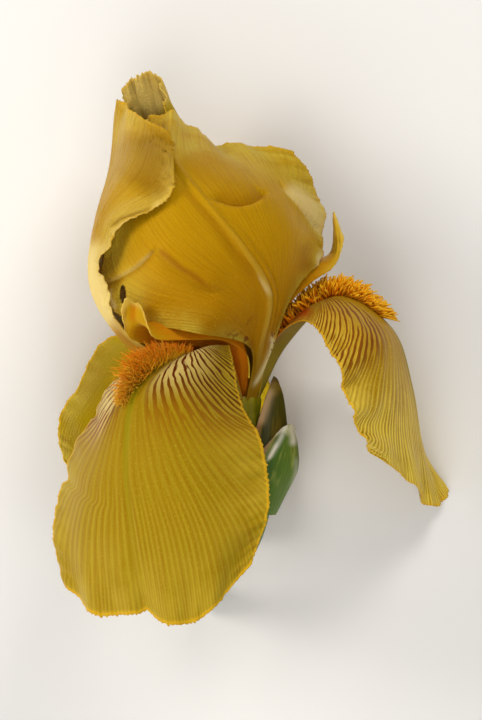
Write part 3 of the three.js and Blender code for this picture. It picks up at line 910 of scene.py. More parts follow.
@dataclass(frozen=True)
class FallFinish:
    """The upper face of a fall: golden, with brown forking veins on a cream haft and an olive midrib."""

    name: str
    # Stations along the fall where its brown lines, its cream and its olive midrib end
    line_end: float = 0.64
    cream_end: float = 0.56
    rib_end: float = 0.72
    # How much cream shows, and how much further from the midrib the cream and the lines begin
    cream: float = 0.65
    clear: float = 0.0
    # How many veins each half of the haft has, and the share of them that the left half keeps
    lines: float = 28.0
    left_share: float = 0.6
    # Where the far end turns pale, and how pale the blade is between its far veins
    far_start: float = 0.8
    far_veins: float = 0.3
    seed: float = 1.0
    gold: str = "94780a"
    ochre: str = "885a04"
    pale: str = "b49c2c"
    brown: str = "561d03"
    amber: str = "a4580a"
    haft: str = "dcc880"
    olive: str = "857c0a"
    rim: str = "d8a81c"
    claw: str = "a8680e"
    dark: str = "7a2c04"
    light: str = "e0ca7c"

    def make(self) -> bpy.types.Material:
        """Make the material.

        Returns:
            The material.
        """
        s = Shader(self.name)
        across, v = s.map(Map.BLADE)
        side, onward = s.map(Map.SPAN)
        u = across * 2.0 - 1.0
        reach = abs(u)
        fan = s.fan(u, v, FALL_SPREAD)
        drift = s.noise(fan * 14.0, v * 8.0, self.seed, 1.0) - 0.5
        sway = s.noise(fan * 24.0, v * 34.0, self.seed + 3.0, 1.0) - 0.5
        breaks = s.noise(fan * 70.0, v * 26.0, self.seed + 7.0, 1.0) - 0.5
        # The veins stand further apart on the left half
        parted = fan + (-fan).most(0.0) * (1.0 - self.left_share)
        place = (parted * self.lines + (drift * 1.2 + sway * 0.6) * s.ease(v, 0.56, 0.4)) * TURN
        # Each vein forks four times on its way to the margin
        vein = place.sine()
        for fork, (begin, end) in enumerate(FORKS):
            vein = vein + ((place * 2.0 ** (fork + 1)).sine() - vein) * s.ease(v, begin, end)
        grain = s.noise(side * 220.0, onward * 160.0, self.seed + 5.0, 2.0)
        cloud = s.noise(side * 14.0, onward * 10.0, self.seed + 6.0, 2.0)
        fine = s.noise(fan * 300.0, v * 6.0, self.seed + 4.0, 1.0)
        # The ground, paler towards the margins and the far end
        far = s.ease(reach, 0.5, 1.0).most(s.ease(v, self.far_start, 1.0))
        color = s.mix(far * 0.6 * s.ease(cloud, 0.25, 0.65), self.gold, self.pale)
        color = s.mix(s.ease(fine, 0.4, 0.7) * 0.35, color, self.ochre)
        broad = s.ease(vein + (cloud - 0.5) * 1.2, -0.3, 0.9)
        color = s.mix(broad * 0.2 * s.ease(v, 0.4, 0.5), color, self.ochre)
        color = s.mix(s.ease(vein, 0.2, -0.8) * s.ease(v, 0.55, 0.85) * self.far_veins, color, self.pale)
        color = s.mix(s.ease(grain, 0.5, 0.8) * 0.4, color, self.pale)
        # The haft: cream beside the beard, with brown lines that thin out, further down on the left
        left = s.ease(u, -0.25, -0.55)
        away = s.ease(reach, 0.08 + self.clear, 0.22 + self.clear)
        near = s.ease(v - left * 0.14, self.cream_end, self.cream_end - 0.15)
        glow = near * away * s.ease(reach - left * 0.3, 0.92, 0.3)
        color = s.mix(glow * self.cream, color, self.haft)
        onward_share = v - reach * 0.05 - s.ease(u, -0.1, -0.7) * 0.06
        wider = s.ease(onward_share, self.line_end - 0.2, self.line_end - 0.04) * 0.3
        lines = s.ease(vein * 0.5 + breaks * 1.1 + wider, 0.04, 0.26)
        fade = s.ease(onward_share, self.line_end, self.line_end - 0.12) * away
        warm = s.ease(onward_share - left * 0.08, self.line_end - 0.2, self.line_end - 0.08)
        brown = s.mix(warm, s.mix(left * 0.4, self.brown, self.amber), self.ochre)
        color = s.mix(lines * fade, color, brown)
        rib = s.ease(abs(side), 0.013, 0.003) * s.ease(v, 0.36, 0.5)
        rib = rib * s.ease(v, self.rib_end + 0.25, self.rib_end - 0.2)
        color = s.mix(rib * 0.75, color, self.olive)
        color = s.mix(s.ease(reach, 0.972, 0.99).most(s.ease(v, 0.988, 0.998)) * 0.65, color, self.rim)
        color = s.mix(s.ease(v, 0.3, 0.2) * 0.85, color, self.claw)
        color = s.with_painted_light_and_stains(color, self.dark, self.light)
        height = vein * (0.4 - 0.28 * s.ease(v, 0.5, 0.7)) + fine * 0.5 + grain * 0.4 - lines * fade * 0.3
        return s.finish(color, 0.5 + 0.15 * (grain - 0.5), height, 0.16, PETAL_DEPTH)


@dataclass(frozen=True)
class PetalFinish:
    """A plain golden petal face with fine lengthwise veins and an olive midrib."""

    name: str
    seed: float = 1.0
    gold: str = "b08404"
    deep: str = "a87200"
    ochre: str = "936402"
    pale: str = "c8b03c"
    olive: str = "8f8414"
    rim: str = "d0a01c"
    claw: str = "95822a"
    # Colours that the strokes lay down: painted shade and darker tissue, painted highlights and paler tissue
    dark: str = "7c5404"
    light: str = "e4cc7c"
    spot: str = "6f2a08"
    # How strongly the pale mottle, the spots on the claw and the midrib show, and how much the veins fan out
    mottle: float = 0.75
    spots: float = 0.0
    rib: float = 0.5
    fan: float = 0.8

    def make(self) -> bpy.types.Material:
        """Make the material.

        Returns:
            The material.
        """
        s = Shader(self.name)
        across, v = s.map(Map.BLADE)
        side, onward = s.map(Map.SPAN)
        u = across * 2.0 - 1.0
        reach = abs(u)
        fan = s.fan(u, v, self.fan)
        drift = s.noise(fan * 5.0, v * 5.0, self.seed, 1.0) - 0.5
        place = (fan * 24.0 + drift * 0.9) * TURN
        vein = place.sine()
        vein = vein + ((place * 2.0).sine() - vein) * s.ease(v, 0.45, 0.7)
        fine = s.noise(fan * 110.0, v * 7.0, self.seed + 2.0, 1.0)
        grain = s.noise(side * 240.0, onward * 200.0, self.seed + 3.0, 2.0)
        cloud = s.noise(side * 11.0, onward * 9.0, self.seed + 4.0, 3.0)
        far = s.ease(reach, 0.55, 0.98).most(s.ease(v, 0.7, 0.98))
        color = s.mix(s.ease(v, 0.75, 0.2), self.gold, self.deep)
        color = s.mix(far * s.ease(cloud, 0.3, 0.62) * self.mottle, color, self.pale)
        color = s.mix(s.ease(vein, -0.1, 0.9) * 0.1, color, self.ochre)
        color = s.mix(s.ease(fine, 0.45, 0.72) * 0.3, color, self.ochre)
        color = s.mix(s.ease(grain, 0.5, 0.8) * (0.2 + 0.3 * far), color, self.pale)
        rib = s.ease(abs(side), 0.008, 0.002) * s.ease(v, 0.75, 0.25)
        color = s.mix(rib * self.rib, color, self.olive)
        color = s.mix(s.ease(reach, 0.975, 0.998).most(s.ease(v, 0.988, 0.998)) * 0.5, color, self.rim)
        color = s.mix(s.ease(v, 0.2, 0.05) * 0.75, color, self.claw)
        color = s.with_painted_light_and_stains(color, self.dark, self.light)
        if self.spots:
            dots = s.noise(side * 70.0, onward * 60.0, self.seed + 9.0, 1.0)
            where = s.ease(v, 0.3, 0.2) * s.ease(v, 0.08, 0.14) * s.ease(abs(side), 0.015, 0.03)
            color = s.mix(s.ease(dots, 0.56, 0.62) * where * self.spots, color, self.spot)
        height = vein * 0.08 + fine * 0.5 + grain * (0.4 + 0.5 * far)
        return s.finish(color, 0.48 + 0.15 * (grain - 0.5), height, 0.3, PETAL_DEPTH)


@dataclass(frozen=True)
class ArmFinish:
    """A style arm: amber towards the middle, with pale crests."""

    name: str
    seed: float = 1.0
    amber: str = "b87808"
    deep: str = "a05804"
    low: str = "c05a06"
    gold: str = "b8800c"
    pale: str = "cba42c"
    # Colours that the strokes lay down: painted shade, and painted highlights
    dark: str = "b65206"
    light: str = "e6d284"
    # A painted highlight along the rims towards the far end
    rim: str = "dcc060"
    fleck: str = "7a2d07"

    def make(self) -> bpy.types.Material:
        """Make the material.

        Returns:
            The material.
        """
        s = Shader(self.name)
        across, v = s.map(Map.BLADE)
        reach = abs(across * 2.0 - 1.0)
        streak = s.noise(across * 40.0, v * 5.0, self.seed, 2.0)
        color = s.mix(s.ease(streak, 0.3, 0.7), self.deep, self.amber)
        color = s.mix(s.ease(across, 0.5, 0.05) * 0.8, color, self.low)
        onward = s.mix(s.ease(streak, 0.4, 0.6) * 0.5, self.gold, self.low)
        color = s.mix(s.ease(v, 0.16, 0.36) * 0.7, color, onward)
        edge = s.ease(reach, 0.35, 0.95).most(s.ease(v, 0.6, 0.9)) * s.ease(v, 0.6, 0.8)
        color = s.mix(edge * 0.9, color, self.pale)
        # A painted highlight along the rims and the tip towards the far end
        rim = s.ease(reach, 0.9, 0.98).most(s.ease(v, 0.94, 0.99)) * 0.5 * s.ease(v, 0.75, 0.9)
        color = s.mix(rim, color, self.rim)
        flecks = s.noise(across * 14.0, v * 16.0, self.seed + 5.0, 1.0)
        fleck = s.ease(flecks, 0.62, 0.68) * s.ease(v, 0.4, 0.2) * s.ease(reach, 0.4, 0.8)
        color = s.mix(fleck, color, self.fleck)
        color = s.with_painted_light_and_stains(color, self.dark, self.light)
        return s.finish(color, 0.42, streak, 0.12, {**PETAL_DEPTH, "Subsurface Weight": 0.3})


@dataclass(frozen=True)
class BractFinish:
    """A bract: green with fine parallel veins, a pale bloom, a papery edge and a tip of its own."""

    name: str
    dark: str
    green: str
    bloom: str
    edge: str
    tip: str
    tip_start: float
    # Colours that the strokes lay down: the darker one, and painted highlights and paler tissue
    deep: str
    light: str
    seed: float = 1.0

    def make(self) -> bpy.types.Material:
        """Make the material.

        Returns:
            The material.
        """
        s = Shader(self.name)
        across, v = s.map(Map.BLADE)
        side, onward = s.map(Map.SPAN)
        u = across * 2.0 - 1.0
        lines = s.noise(u * 34.0, v * 1.6, self.seed, 1.0)
        streak = s.noise(u * 7.0, v * 3.0, self.seed + 1.0, 2.0)
        cloud = s.noise(side * 20.0, onward * 16.0, self.seed + 2.0, 3.0)
        color = s.mix(s.ease(u, -0.9, 0.1), self.dark, self.green)
        color = s.mix(s.ease(lines, 0.42, 0.62) * 0.4, color, self.dark)
        color = s.mix(s.ease(streak, 0.48, 0.72) * s.ease(v, 0.2, 0.7) * 0.75, color, self.bloom)
        papery = s.mix(s.ease(cloud, 0.35, 0.6), self.edge, self.bloom)
        color = s.mix(s.ease(abs(u), 0.74, 0.93), color, papery)
        tip = s.ease(v + (cloud - 0.5) * 0.2, self.tip_start, self.tip_start + 0.09)
        color = s.mix(tip, color, s.mix(s.ease(cloud, 0.4, 0.62), self.tip, self.bloom))
        color = s.with_painted_light_and_stains(color, self.deep, self.light)
        return s.finish(color, 0.5 + 0.2 * (cloud - 0.5), lines * 0.5 + cloud * 0.3, 0.12, WAXY)


@dataclass(frozen=True)
class StalkFinish:
    """A round green stalk with faint lengthwise lines and, where it has one, a pale cut end."""

    name: str
    low: str
    high: str
    mottle: str
    cut: str = ""
    cut_rim: str = "5f7a35"
    seed: float = 1.0

    def make(self) -> bpy.types.Material:
        """Make the material.

        Returns:
            The material.
        """
        s = Shader(self.name)
        round_, along = s.map(Map.BLADE)
        lines = s.noise((round_ * TURN).sine() * 7.0, along * 4.0, self.seed, 2.0)
        cloud = s.noise(round_ * 5.0, along * 9.0, self.seed + 3.0, 3.0)
        color = s.mix(s.ease(along, 0.0, 1.0), self.low, self.high)
        color = s.mix(s.ease(lines, 0.45, 0.65) * 0.35, color, self.mottle)
        color = s.mix(s.ease(cloud, 0.5, 0.75) * 0.3, color, self.mottle)
        if self.cut:
            radius, _ = s.map(Map.SPAN)
            pith = s.mix(s.ease(radius, 0.75, 0.95), self.cut, self.cut_rim)
            color = s.mix(s.ease(radius, 1.01, 0.985) * s.ease(along, 0.99, 0.995), color, pith)
        return s.finish(color, 0.4, lines * 0.7 + cloud * 0.3, 0.12, WAXY)


@dataclass(frozen=True)
class HairFinish:
    """Beard hairs, tinted along their length and from hair to hair."""

    name: str
    root: str
    middle: str
    tip: str
    claw: str
    fair: str
    # The station along the beard where the claw's tint ends, and how strong the fair tint grows in front
    claw_end: float = 0.4
    front: float = 0.0

    def make(self) -> bpy.types.Material:
        """Make the material.

        Returns:
            The material.
        """
        s = Shader(self.name)
        tint, along = s.map(Map.BLADE)
        station, _ = s.map(Map.SPAN)
        color = s.mix(s.ease(along, 0.0, 0.5), self.root, self.middle)
        color = s.mix(s.ease(along, 0.55, 0.95), color, self.tip)
        color = s.mix(s.ease(station, self.claw_end, 0.02) * 0.9, color, self.claw)
        onward = s.ease(station + (tint - 0.5) * 0.5, 0.45, 0.9) * self.front
        color = s.mix((s.ease(tint, 0.3, 1.0) * 0.45).most(onward), color, self.fair)
        return s.finish(color, 0.5, None, 0.0, HAIR_DEPTH)


@dataclass(frozen=True)
class AntherFinish:
    """A cream anther and its thread."""

    name: str
    shade: str = "b59a48"
    cream: str = "cdb878"

    def make(self) -> bpy.types.Material:
        """Make the material.

        Returns:
            The material.
        """
        s = Shader(self.name)
        round_, along = s.map(Map.BLADE)
        grain = s.noise(round_ * 30.0, along * 40.0, 1.0, 2.0)
        color = s.mix(s.ease(grain, 0.35, 0.65), self.shade, self.cream)
        return s.finish(color, 0.7, grain, 0.1, {"Subsurface Weight": 0.1, "Subsurface Scale": 0.0008})


# Blades


@dataclass(frozen=True)
class Waves:
    """Ruffles of a petal: their height and number along the sides and the far end, and where they start."""

    side: float = 0.0
    side_count: float = 1.0
    end: float = 0.0
    end_count: float = 1.0
    start: float = 0.0

    def lift(self, u: Array, v: Array) -> Array:
        """Find how far the ruffles lift the petal off its smooth skin.

        Args:
            u: Stations across.
            v: Stations along.

        Returns:
            Millimetres towards the drawn side.
        """
        # The ruffles of one side don't face those of the other
        phase = self.start + np.where(u < 0, 0.0, 0.37)
        sides = self.side * smoothstep(np.abs(u), 0.5, 1.0) * smoothstep(v, 0.3, 0.55)
        end = self.end * smoothstep(v, FAR_END, 1.0)
        side_wave = np.sin(TURN * (self.side_count * v + phase))
        end_wave = np.sin(TURN * (self.end_count * u + self.start))
        return sides * side_wave + end * end_wave


def beside(line: Track, place: Array) -> tuple[Array, Array]:
    """Measure how points lie beside a line, as seen from above.

    Args:
        line: The line's knots in the drawing's plane.
        place: The points, in the drawing.

    Returns:
        Each point's distance from the line, more than zero on the left of the walk along it, and how far
        along the line it lies, from 0 to 1.
    """
    stations = curve_at(np.array(line, float), np.linspace(0, 1, 12 * len(line)))
    best = np.full(len(place), np.inf)
    signed = np.zeros(len(place))
    reach = np.zeros(len(place))
    for index in range(len(stations) - 1):
        a, b = stations[index], stations[index + 1]
        along = b - a
        share = np.clip(((place[:, :2] - a) @ along) / (along @ along), 0.0, 1.0)
        offset = place[:, :2] - (a + share[:, None] * along)
        distance = np.linalg.norm(offset, axis=1)
        nearer = distance < best
        best = np.where(nearer, distance, best)
        side = np.where(along[0] * offset[:, 1] - along[1] * offset[:, 0] < 0, -1.0, 1.0)
        signed = np.where(nearer, distance * side, signed)
        reach = np.where(nearer, (index + share) / (len(stations) - 1), reach)
    return signed, reach


@dataclass(frozen=True)
class Fold:
    """A soft step in a petal along a line that is seen from above, with a height on either side."""

    line: Track
    # Its height on the left and on the right of the line, how far it reaches, and half the step's width
    left: float
    right: float
    width: float
    step: float = 0.35
    # The share of the line over which either end fades
    fade: float = 0.25

    def lift(self, place: Array) -> Array:
        """Find how far the fold lifts each point.

        Args:
            place: The points, in the drawing.

        Returns:
            Millimetres towards the seen side.
        """
        signed, reach = beside(self.line, place)
        blend = smoothstep(signed, -self.step, self.step)
        height = self.left * blend + self.right * (1 - blend)
        return faded_ends(reach, self.fade) * height * bell(signed, self.width)


@dataclass(frozen=True)
class Stroke:
    """A darker or paler band along a line that is seen from above: some are painted shade and painted
    highlights, some are stains in the tissue.
    """

    line: Track
    # How far it reaches on the left and on the right of the line
    left: float
    right: float
    # How pale it is, or how dark where it is less than zero
    tone: float
    # The share of the line over which either end fades
    fade: float = 0.2

    def tone_at(self, place: Array) -> Array:
        """Find how much the band darkens or pales each point.

        Args:
            place: The points, in the drawing.

        Returns:
            Less than zero where it is darker, more than zero where it is paler.
        """
        signed, reach = beside(self.line, place)
        width = np.where(signed > 0, self.left, self.right)
        return self.tone * faded_ends(reach, self.fade) * bell(signed, width)


@dataclass(frozen=True)
class Pits:
    """Small dimples strewn along a line that is seen from above."""

    line: Track
    count: int
    # How far they stray from the line, the depth of the deepest, and their usual radius
    spread: float
    depth: float
    radius: float = 0.55

    def lift(self, place: Array, rng: np.random.Generator) -> Array:
        """Find how far the dimples lower each point.

        Args:
            place: The points, in the drawing.
            rng: Source of the draws.

        Returns:
            Millimetres towards the seen side, zero or less.
        """
        middles = curve_at(np.array(self.line, float), rng.uniform(0, 1, self.count))
        middles = middles + rng.normal(0, self.spread, (self.count, 2))
        sizes = self.radius * rng.uniform(0.5, 1.4, self.count)
        depths = self.depth * rng.uniform(0.3, 1.0, self.count)
        lift = np.zeros(len(place))
        for middle, size, depth in zip(middles, sizes, depths):
            distance = np.linalg.norm(place[:, :2] - middle, axis=1)
            lift -= depth * bell(distance, size)
        return lift


@dataclass(frozen=True)
class Opening:
    """A small oval hole through a petal, as seen from above."""

    middle: tuple[float, float]
    half_width: float
    half_height: float

    def pierce(self, mesh: bpy.types.Mesh) -> None:
        """Cut the hole through a sheet.

        Args:
            mesh: The sheet, in the frame's metres.
        """
        sheet = bmesh.new()
        sheet.from_mesh(mesh)
        size = Vector((self.half_width, self.half_height, 1.0)) * MM
        middle = (Vector((*self.middle, 0.0)) - Vector(DRAWN_ORIGIN)) * MM

        def reach(point: Vector) -> float:
            """Measure how far out a point lies: less than 1 is in the hole."""
            return math.hypot((point.x - middle.x) / size.x, (point.y - middle.y) / size.y)

        inside = [face for face in sheet.faces if reach(face.calc_center_median()) < 1.0]
        bmesh.ops.delete(sheet, geom=inside, context="FACES")
        for corner in sheet.verts:
            share = reach(corner.co)
            if corner.is_boundary and share < 1.6:
                corner.co.x = middle.x + (corner.co.x - middle.x) / share
                corner.co.y = middle.y + (corner.co.y - middle.y) / share
        sheet.to_mesh(mesh)
        sheet.free()


@dataclass(frozen=True)
class Ridge:
    """A long ridge, or a groove where its height is negative, that runs beside the midrib."""

    aside: float
    height: float
    width: float
    # The stations of its two ends
    start: float = 0.1
    stop: float = 1.0

    def lift(self, side: Array, v: Array) -> Array:
        """Find how far the ridge lifts each point.

        Args:
            side: Millimetres from the midrib, less than zero on its left.
            v: Stations along.

        Returns:
            Millimetres towards the seen side.
        """
        run = smoothstep(v, self.start, self.start + 0.15) * smoothstep(self.stop - v, 0.0, 0.25)
        return run * self.height * bell(side - self.aside, self.width)


@dataclass
class Blade:
    """A thin grown blade: a petal, a style arm or a bract."""

    name: str
    node: str
    slot: str
    skin: Skin
    finishes: list[bpy.types.Material]
    seed: int
    # How many segments it has across and along
    split: tuple[int, int] = (120, 200)
    face: Face = Face.DRAWN
    # The wall's thickness, and the margin's share of it
    thickness: float = 0.8
    margin_share: float = 0.45
    waves: Waves = Waves()
    # The teeth: height of the tallest, mean distance, and the station where those of the sides start
    tooth_height: float = 0.6
    tooth_pitch: float = 1.2
    tooth_start: float = 0.32
    # Height of the crinkles along the margins
    frill: float = 0.3
    # How far the far end is drawn out at stations across, and either side at stations along
    end_shift: Knots = ()
    left_shift: Knots = ()
    right_shift: Knots = ()
    folds: tuple[Fold, ...] = ()
    ridges: tuple[Ridge, ...] = ()
    # Bands of painted shade, painted highlight and stain
    strokes: tuple[Stroke, ...] = ()
    pits: tuple[Pits, ...] = ()
    openings: tuple[Opening, ...] = ()
    # Height of the fine ribs, and how strongly the veins that they follow bend outwards
    ribs: float = 0.05
    spread: float = 0.8

    def margins(self, u: Array, v: Array) -> tuple[Array, Array]:
        """Measure how far each station lies from the sides and from the far end, in millimetres."""
        length = self.skin.length_to(np.array([1.0]))[0]
        return (1 - np.abs(u)) * self.skin.half_width(v), (1 - v) * length

    def relief(self, u: Array, v: Array, place: Array) -> Array:
        """Raise the blade's own detail off its ruffled skin.

        Args:
            u: Stations across.
            v: Stations along.
            place: The points of the smooth skin.

        Returns:
            Millimetres towards the seen side.
        """
        rng = np.random.default_rng(self.seed + 100)
        side = u * self.skin.half_width(v)
        sides, end = self.margins(u, v)
        vein = (vein_place(u, v, self.spread) + 1) / 2
        number = round(RIB_COUNT * (1 + self.spread / 10))
        coarse = curve_at(ripple(number, rng), vein)[:, 0]
        fine = curve_at(ripple(3 * number, rng), vein)[:, 0]
        forked = smoothstep(v, 0.4, 0.65)
        begin = 0.05 + 0.03 * self.spread
        lift = self.ribs * (coarse + (fine - 0.6 * coarse) * forked) * smoothstep(v, begin, begin + 0.2)
        along_sides = curve_at(ripple(SIDE_CRINKLES, rng), v)[:, 0] * np.sign(u)
        along_end = curve_at(ripple(END_CRINKLES, rng), (u + 1) / 2)[:, 0]
        crinkle = along_sides * near_margin(sides, SIDE_CRINKLE_REACH)
        crinkle += along_end * near_margin(end, END_CRINKLE_REACH)
        lift += self.frill * crinkle * smoothstep(v, 0.3, 0.5)
        for ridge in self.ridges:
            lift += ridge.lift(side, v)
        for fold in self.folds:
            lift += fold.lift(place)
        for pits in self.pits:
            lift += pits.lift(place, rng)
        return lift

    def lay(self, u: Array, v: Array) -> Array:
        """Place the blade's middle surface.

        Args:
            u: Stations across.
            v: Stations along.

        Returns:
            One point for each station, in the drawing.
        """
        rng = np.random.default_rng(self.seed)
        place = self.skin.point(u, v)
        across, along = self.skin.steps(u, v)
        facing = unit(np.cross(across, along))
        sides, end = self.margins(u, v)
        length = float(self.skin.length_to(np.array([1.0]))[0])
        width = float(self.skin.half_width(np.array([FAR_END]))[0])
        grip_side = near_margin(sides, TOOTH_REACH)
        grip_end = near_margin(end, TOOTH_REACH)
        started = smoothstep(v, self.tooth_start, self.tooth_start + 0.08)
        left = np.interp(v * length, *tooth_line(length, self.tooth_pitch, self.tooth_height, rng))
        right = np.interp(v * length, *tooth_line(length, self.tooth_pitch, self.tooth_height, rng))
        far = np.interp((u + 1) * width, *tooth_line(2 * width, self.tooth_pitch, self.tooth_height, rng))
        teeth = np.where(u < 0, left, right) * grip_side * started
        reach = smoothstep(np.abs(u), 0.0, 1.0)
        if self.left_shift:
            teeth += np.where(u < 0, read_knots(self.left_shift, v), 0.0) * reach
        if self.right_shift:
            teeth += np.where(u > 0, read_knots(self.right_shift, v), 0.0) * reach
        onward = far * grip_end
        if self.end_shift:
            onward = onward + read_knots(self.end_shift, u) * smoothstep(v, 0.55, 1.0)
        lift = self.waves.lift(u, v) + self.face.value * self.relief(u, v, place)
        place = place + facing * lift[:, None]
        place += across * (np.sign(u) * teeth)[:, None]
        place += along * onward[:, None]
        place[:, 2] = np.maximum(place[:, 2], self.thickness / 2)
        return place

    def build(self) -> bpy.types.Object:
        """Build, dress and place the blade.

        Returns:
            The piece.
        """
        sheet = bmesh.new()
        bmesh.ops.create_grid(sheet, x_segments=self.split[0], y_segments=self.split[1], size=1.0)
        mesh = keep_mesh(sheet, self.name)
        flat = read_points(mesh)
        u, v = flat[:, 0], (flat[:, 1] + 1) / 2
        settle(mesh, self.lay(u, v))
        half = self.skin.half_width(v)
        add_map(mesh, Map.BLADE, (u + 1) / 2, v)
        add_map(mesh, Map.SPAN, u * half / SPAN_UNIT, self.skin.length_to(v) / SPAN_UNIT)
        tone = self.tone(self.skin.point(u, v))
        add_map(mesh, Map.TONE, np.clip(-tone, 0, 1), np.clip(tone, 0, 1))
        if self.face is Face.TURNED:
            mesh.flip_normals()
        piece = present(mesh, self.name, self.node, self.finishes)
        self.thicken(piece, u, v)
        for opening in self.openings:
            opening.pierce(mesh)
        return piece

    def tone(self, place: Array) -> Array:
        """Add up the blade's bands of painted shade, painted highlight and stain: less than zero is darker,
        more than zero is paler.

        Args:
            place: The points, in the drawing.

        Returns:
            The tone of each point.
        """
        total = np.zeros(len(place))
        for stroke in self.strokes:
            total += stroke.tone_at(place)
        return total

    def over_midrib(self, stations: Track) -> tuple[Point, ...]:
        """Place stations over the blade's midrib, on the side that is seen.

        Args:
            stations: A station along the midrib and a height over it in millimetres, for each point.

        Returns:
            The points, in the drawing.
        """
        v, height = np.array(stations).T
        u = np.zeros(len(v))
        out = self.face.value * self.skin.facing(u, v)
        return tuple(map(tuple, self.skin.point(u, v) + out * height[:, None]))

    def thicken(self, piece: bpy.types.Object, u: Array, v: Array) -> None:
        """Give the sheet its two faces, thinner towards the margins.

        Args:
            piece: The sheet.
            u: Stations across of its points.
            v: Stations along of its points.
        """
        sides, end = self.margins(u, v)
        body = smoothstep(np.minimum(sides, end), 0.0, WALL_REACH)
        group = piece.vertex_groups.new(name="body")
        levels = np.round(body * WALL_STEPS).astype(int)
        for level in range(WALL_STEPS + 1):
            members = np.nonzero(levels == level)[0].tolist()
            if members:
                group.add(members, level / WALL_STEPS, "REPLACE")
        wall = piece.modifiers.new("wall", "SOLIDIFY")
        wall.thickness = self.thickness * MM
        wall.offset = 0.0
        wall.vertex_group = group.name
        wall.thickness_vertex_group = self.margin_share
        wall.material_offset = len(self.finishes) - 1


def read_knots(knots: Knots, where: Array) -> Array:
    """Read a smooth line through knots of station and height.

    Args:
        knots: The knots, in order of their stations.
        where: The stations to read.

    Returns:
        The heights.
    """
    stations, heights = np.array(knots).T
    order = np.interp(where, stations, np.linspace(0, 1, len(stations)))
    return curve_at(heights[:, None], order)[:, 0]


# Round pieces


@dataclass
class Stalk:
    """A round grown stalk along a smooth line."""

    name: str
    node: str
    slot: str
    path: tuple[Point, ...]
    radii: tuple[float, ...]
    finish: bpy.types.Material
    sides: int = 48
    rings: int = 60
    flutes: int = 0
    flute_depth: float = 0.0

    def build(self) -> bpy.types.Object:
        """Build, dress and place the stalk.

        Returns:
            The piece.
        """
        mesh = straight_rod(self.name, self.sides, self.rings, -0.5)
        flat = read_points(mesh)
        along = np.clip(flat[:, 2] + 0.5, 0.0, 1.0)
        angle = np.arctan2(flat[:, 1], flat[:, 0])
        reach = np.hypot(flat[:, 0], flat[:, 1])
        settle(mesh, self.lay(along, angle, reach))
        add_map(mesh, Map.BLADE, angle / TURN + 0.5, along)
        add_map(mesh, Map.SPAN, reach, along)
        return present(mesh, self.name, self.node, [self.finish])

    def lay(self, along: Array, angle: Array, reach: Array) -> Array:
        """Bend a straight rod onto the stalk's line.

        Args:
            along: Stations along the line.
            angle: Turns round it, in radians.
            reach: Share of the radius.

        Returns:
            One point for each station, in the drawing.
        """
        path = np.array(self.path, float)
        centre = curve_at(path, along)
        ahead = curve_at(path, np.minimum(1, along + STEP)) - curve_at(path, np.maximum(0, along - STEP))
        ahead = unit(ahead)
        across = unit(np.cross(ahead, np.array([0.0, 0.0, 1.0])))
        up = np.cross(across, ahead)
        radius = curve_at(np.array(self.radii)[:, None], along)[:, 0]
        if self.flutes:
            radius = radius * (1 + self.flute_depth * np.cos(self.flutes * angle))
        out = across * np.cos(angle)[:, None] - up * np.sin(angle)[:, None]
        place = centre + out * (radius * reach)[:, None]
        place[:, 2] = np.maximum(place[:, 2], 0.0)
        return place


# Beards


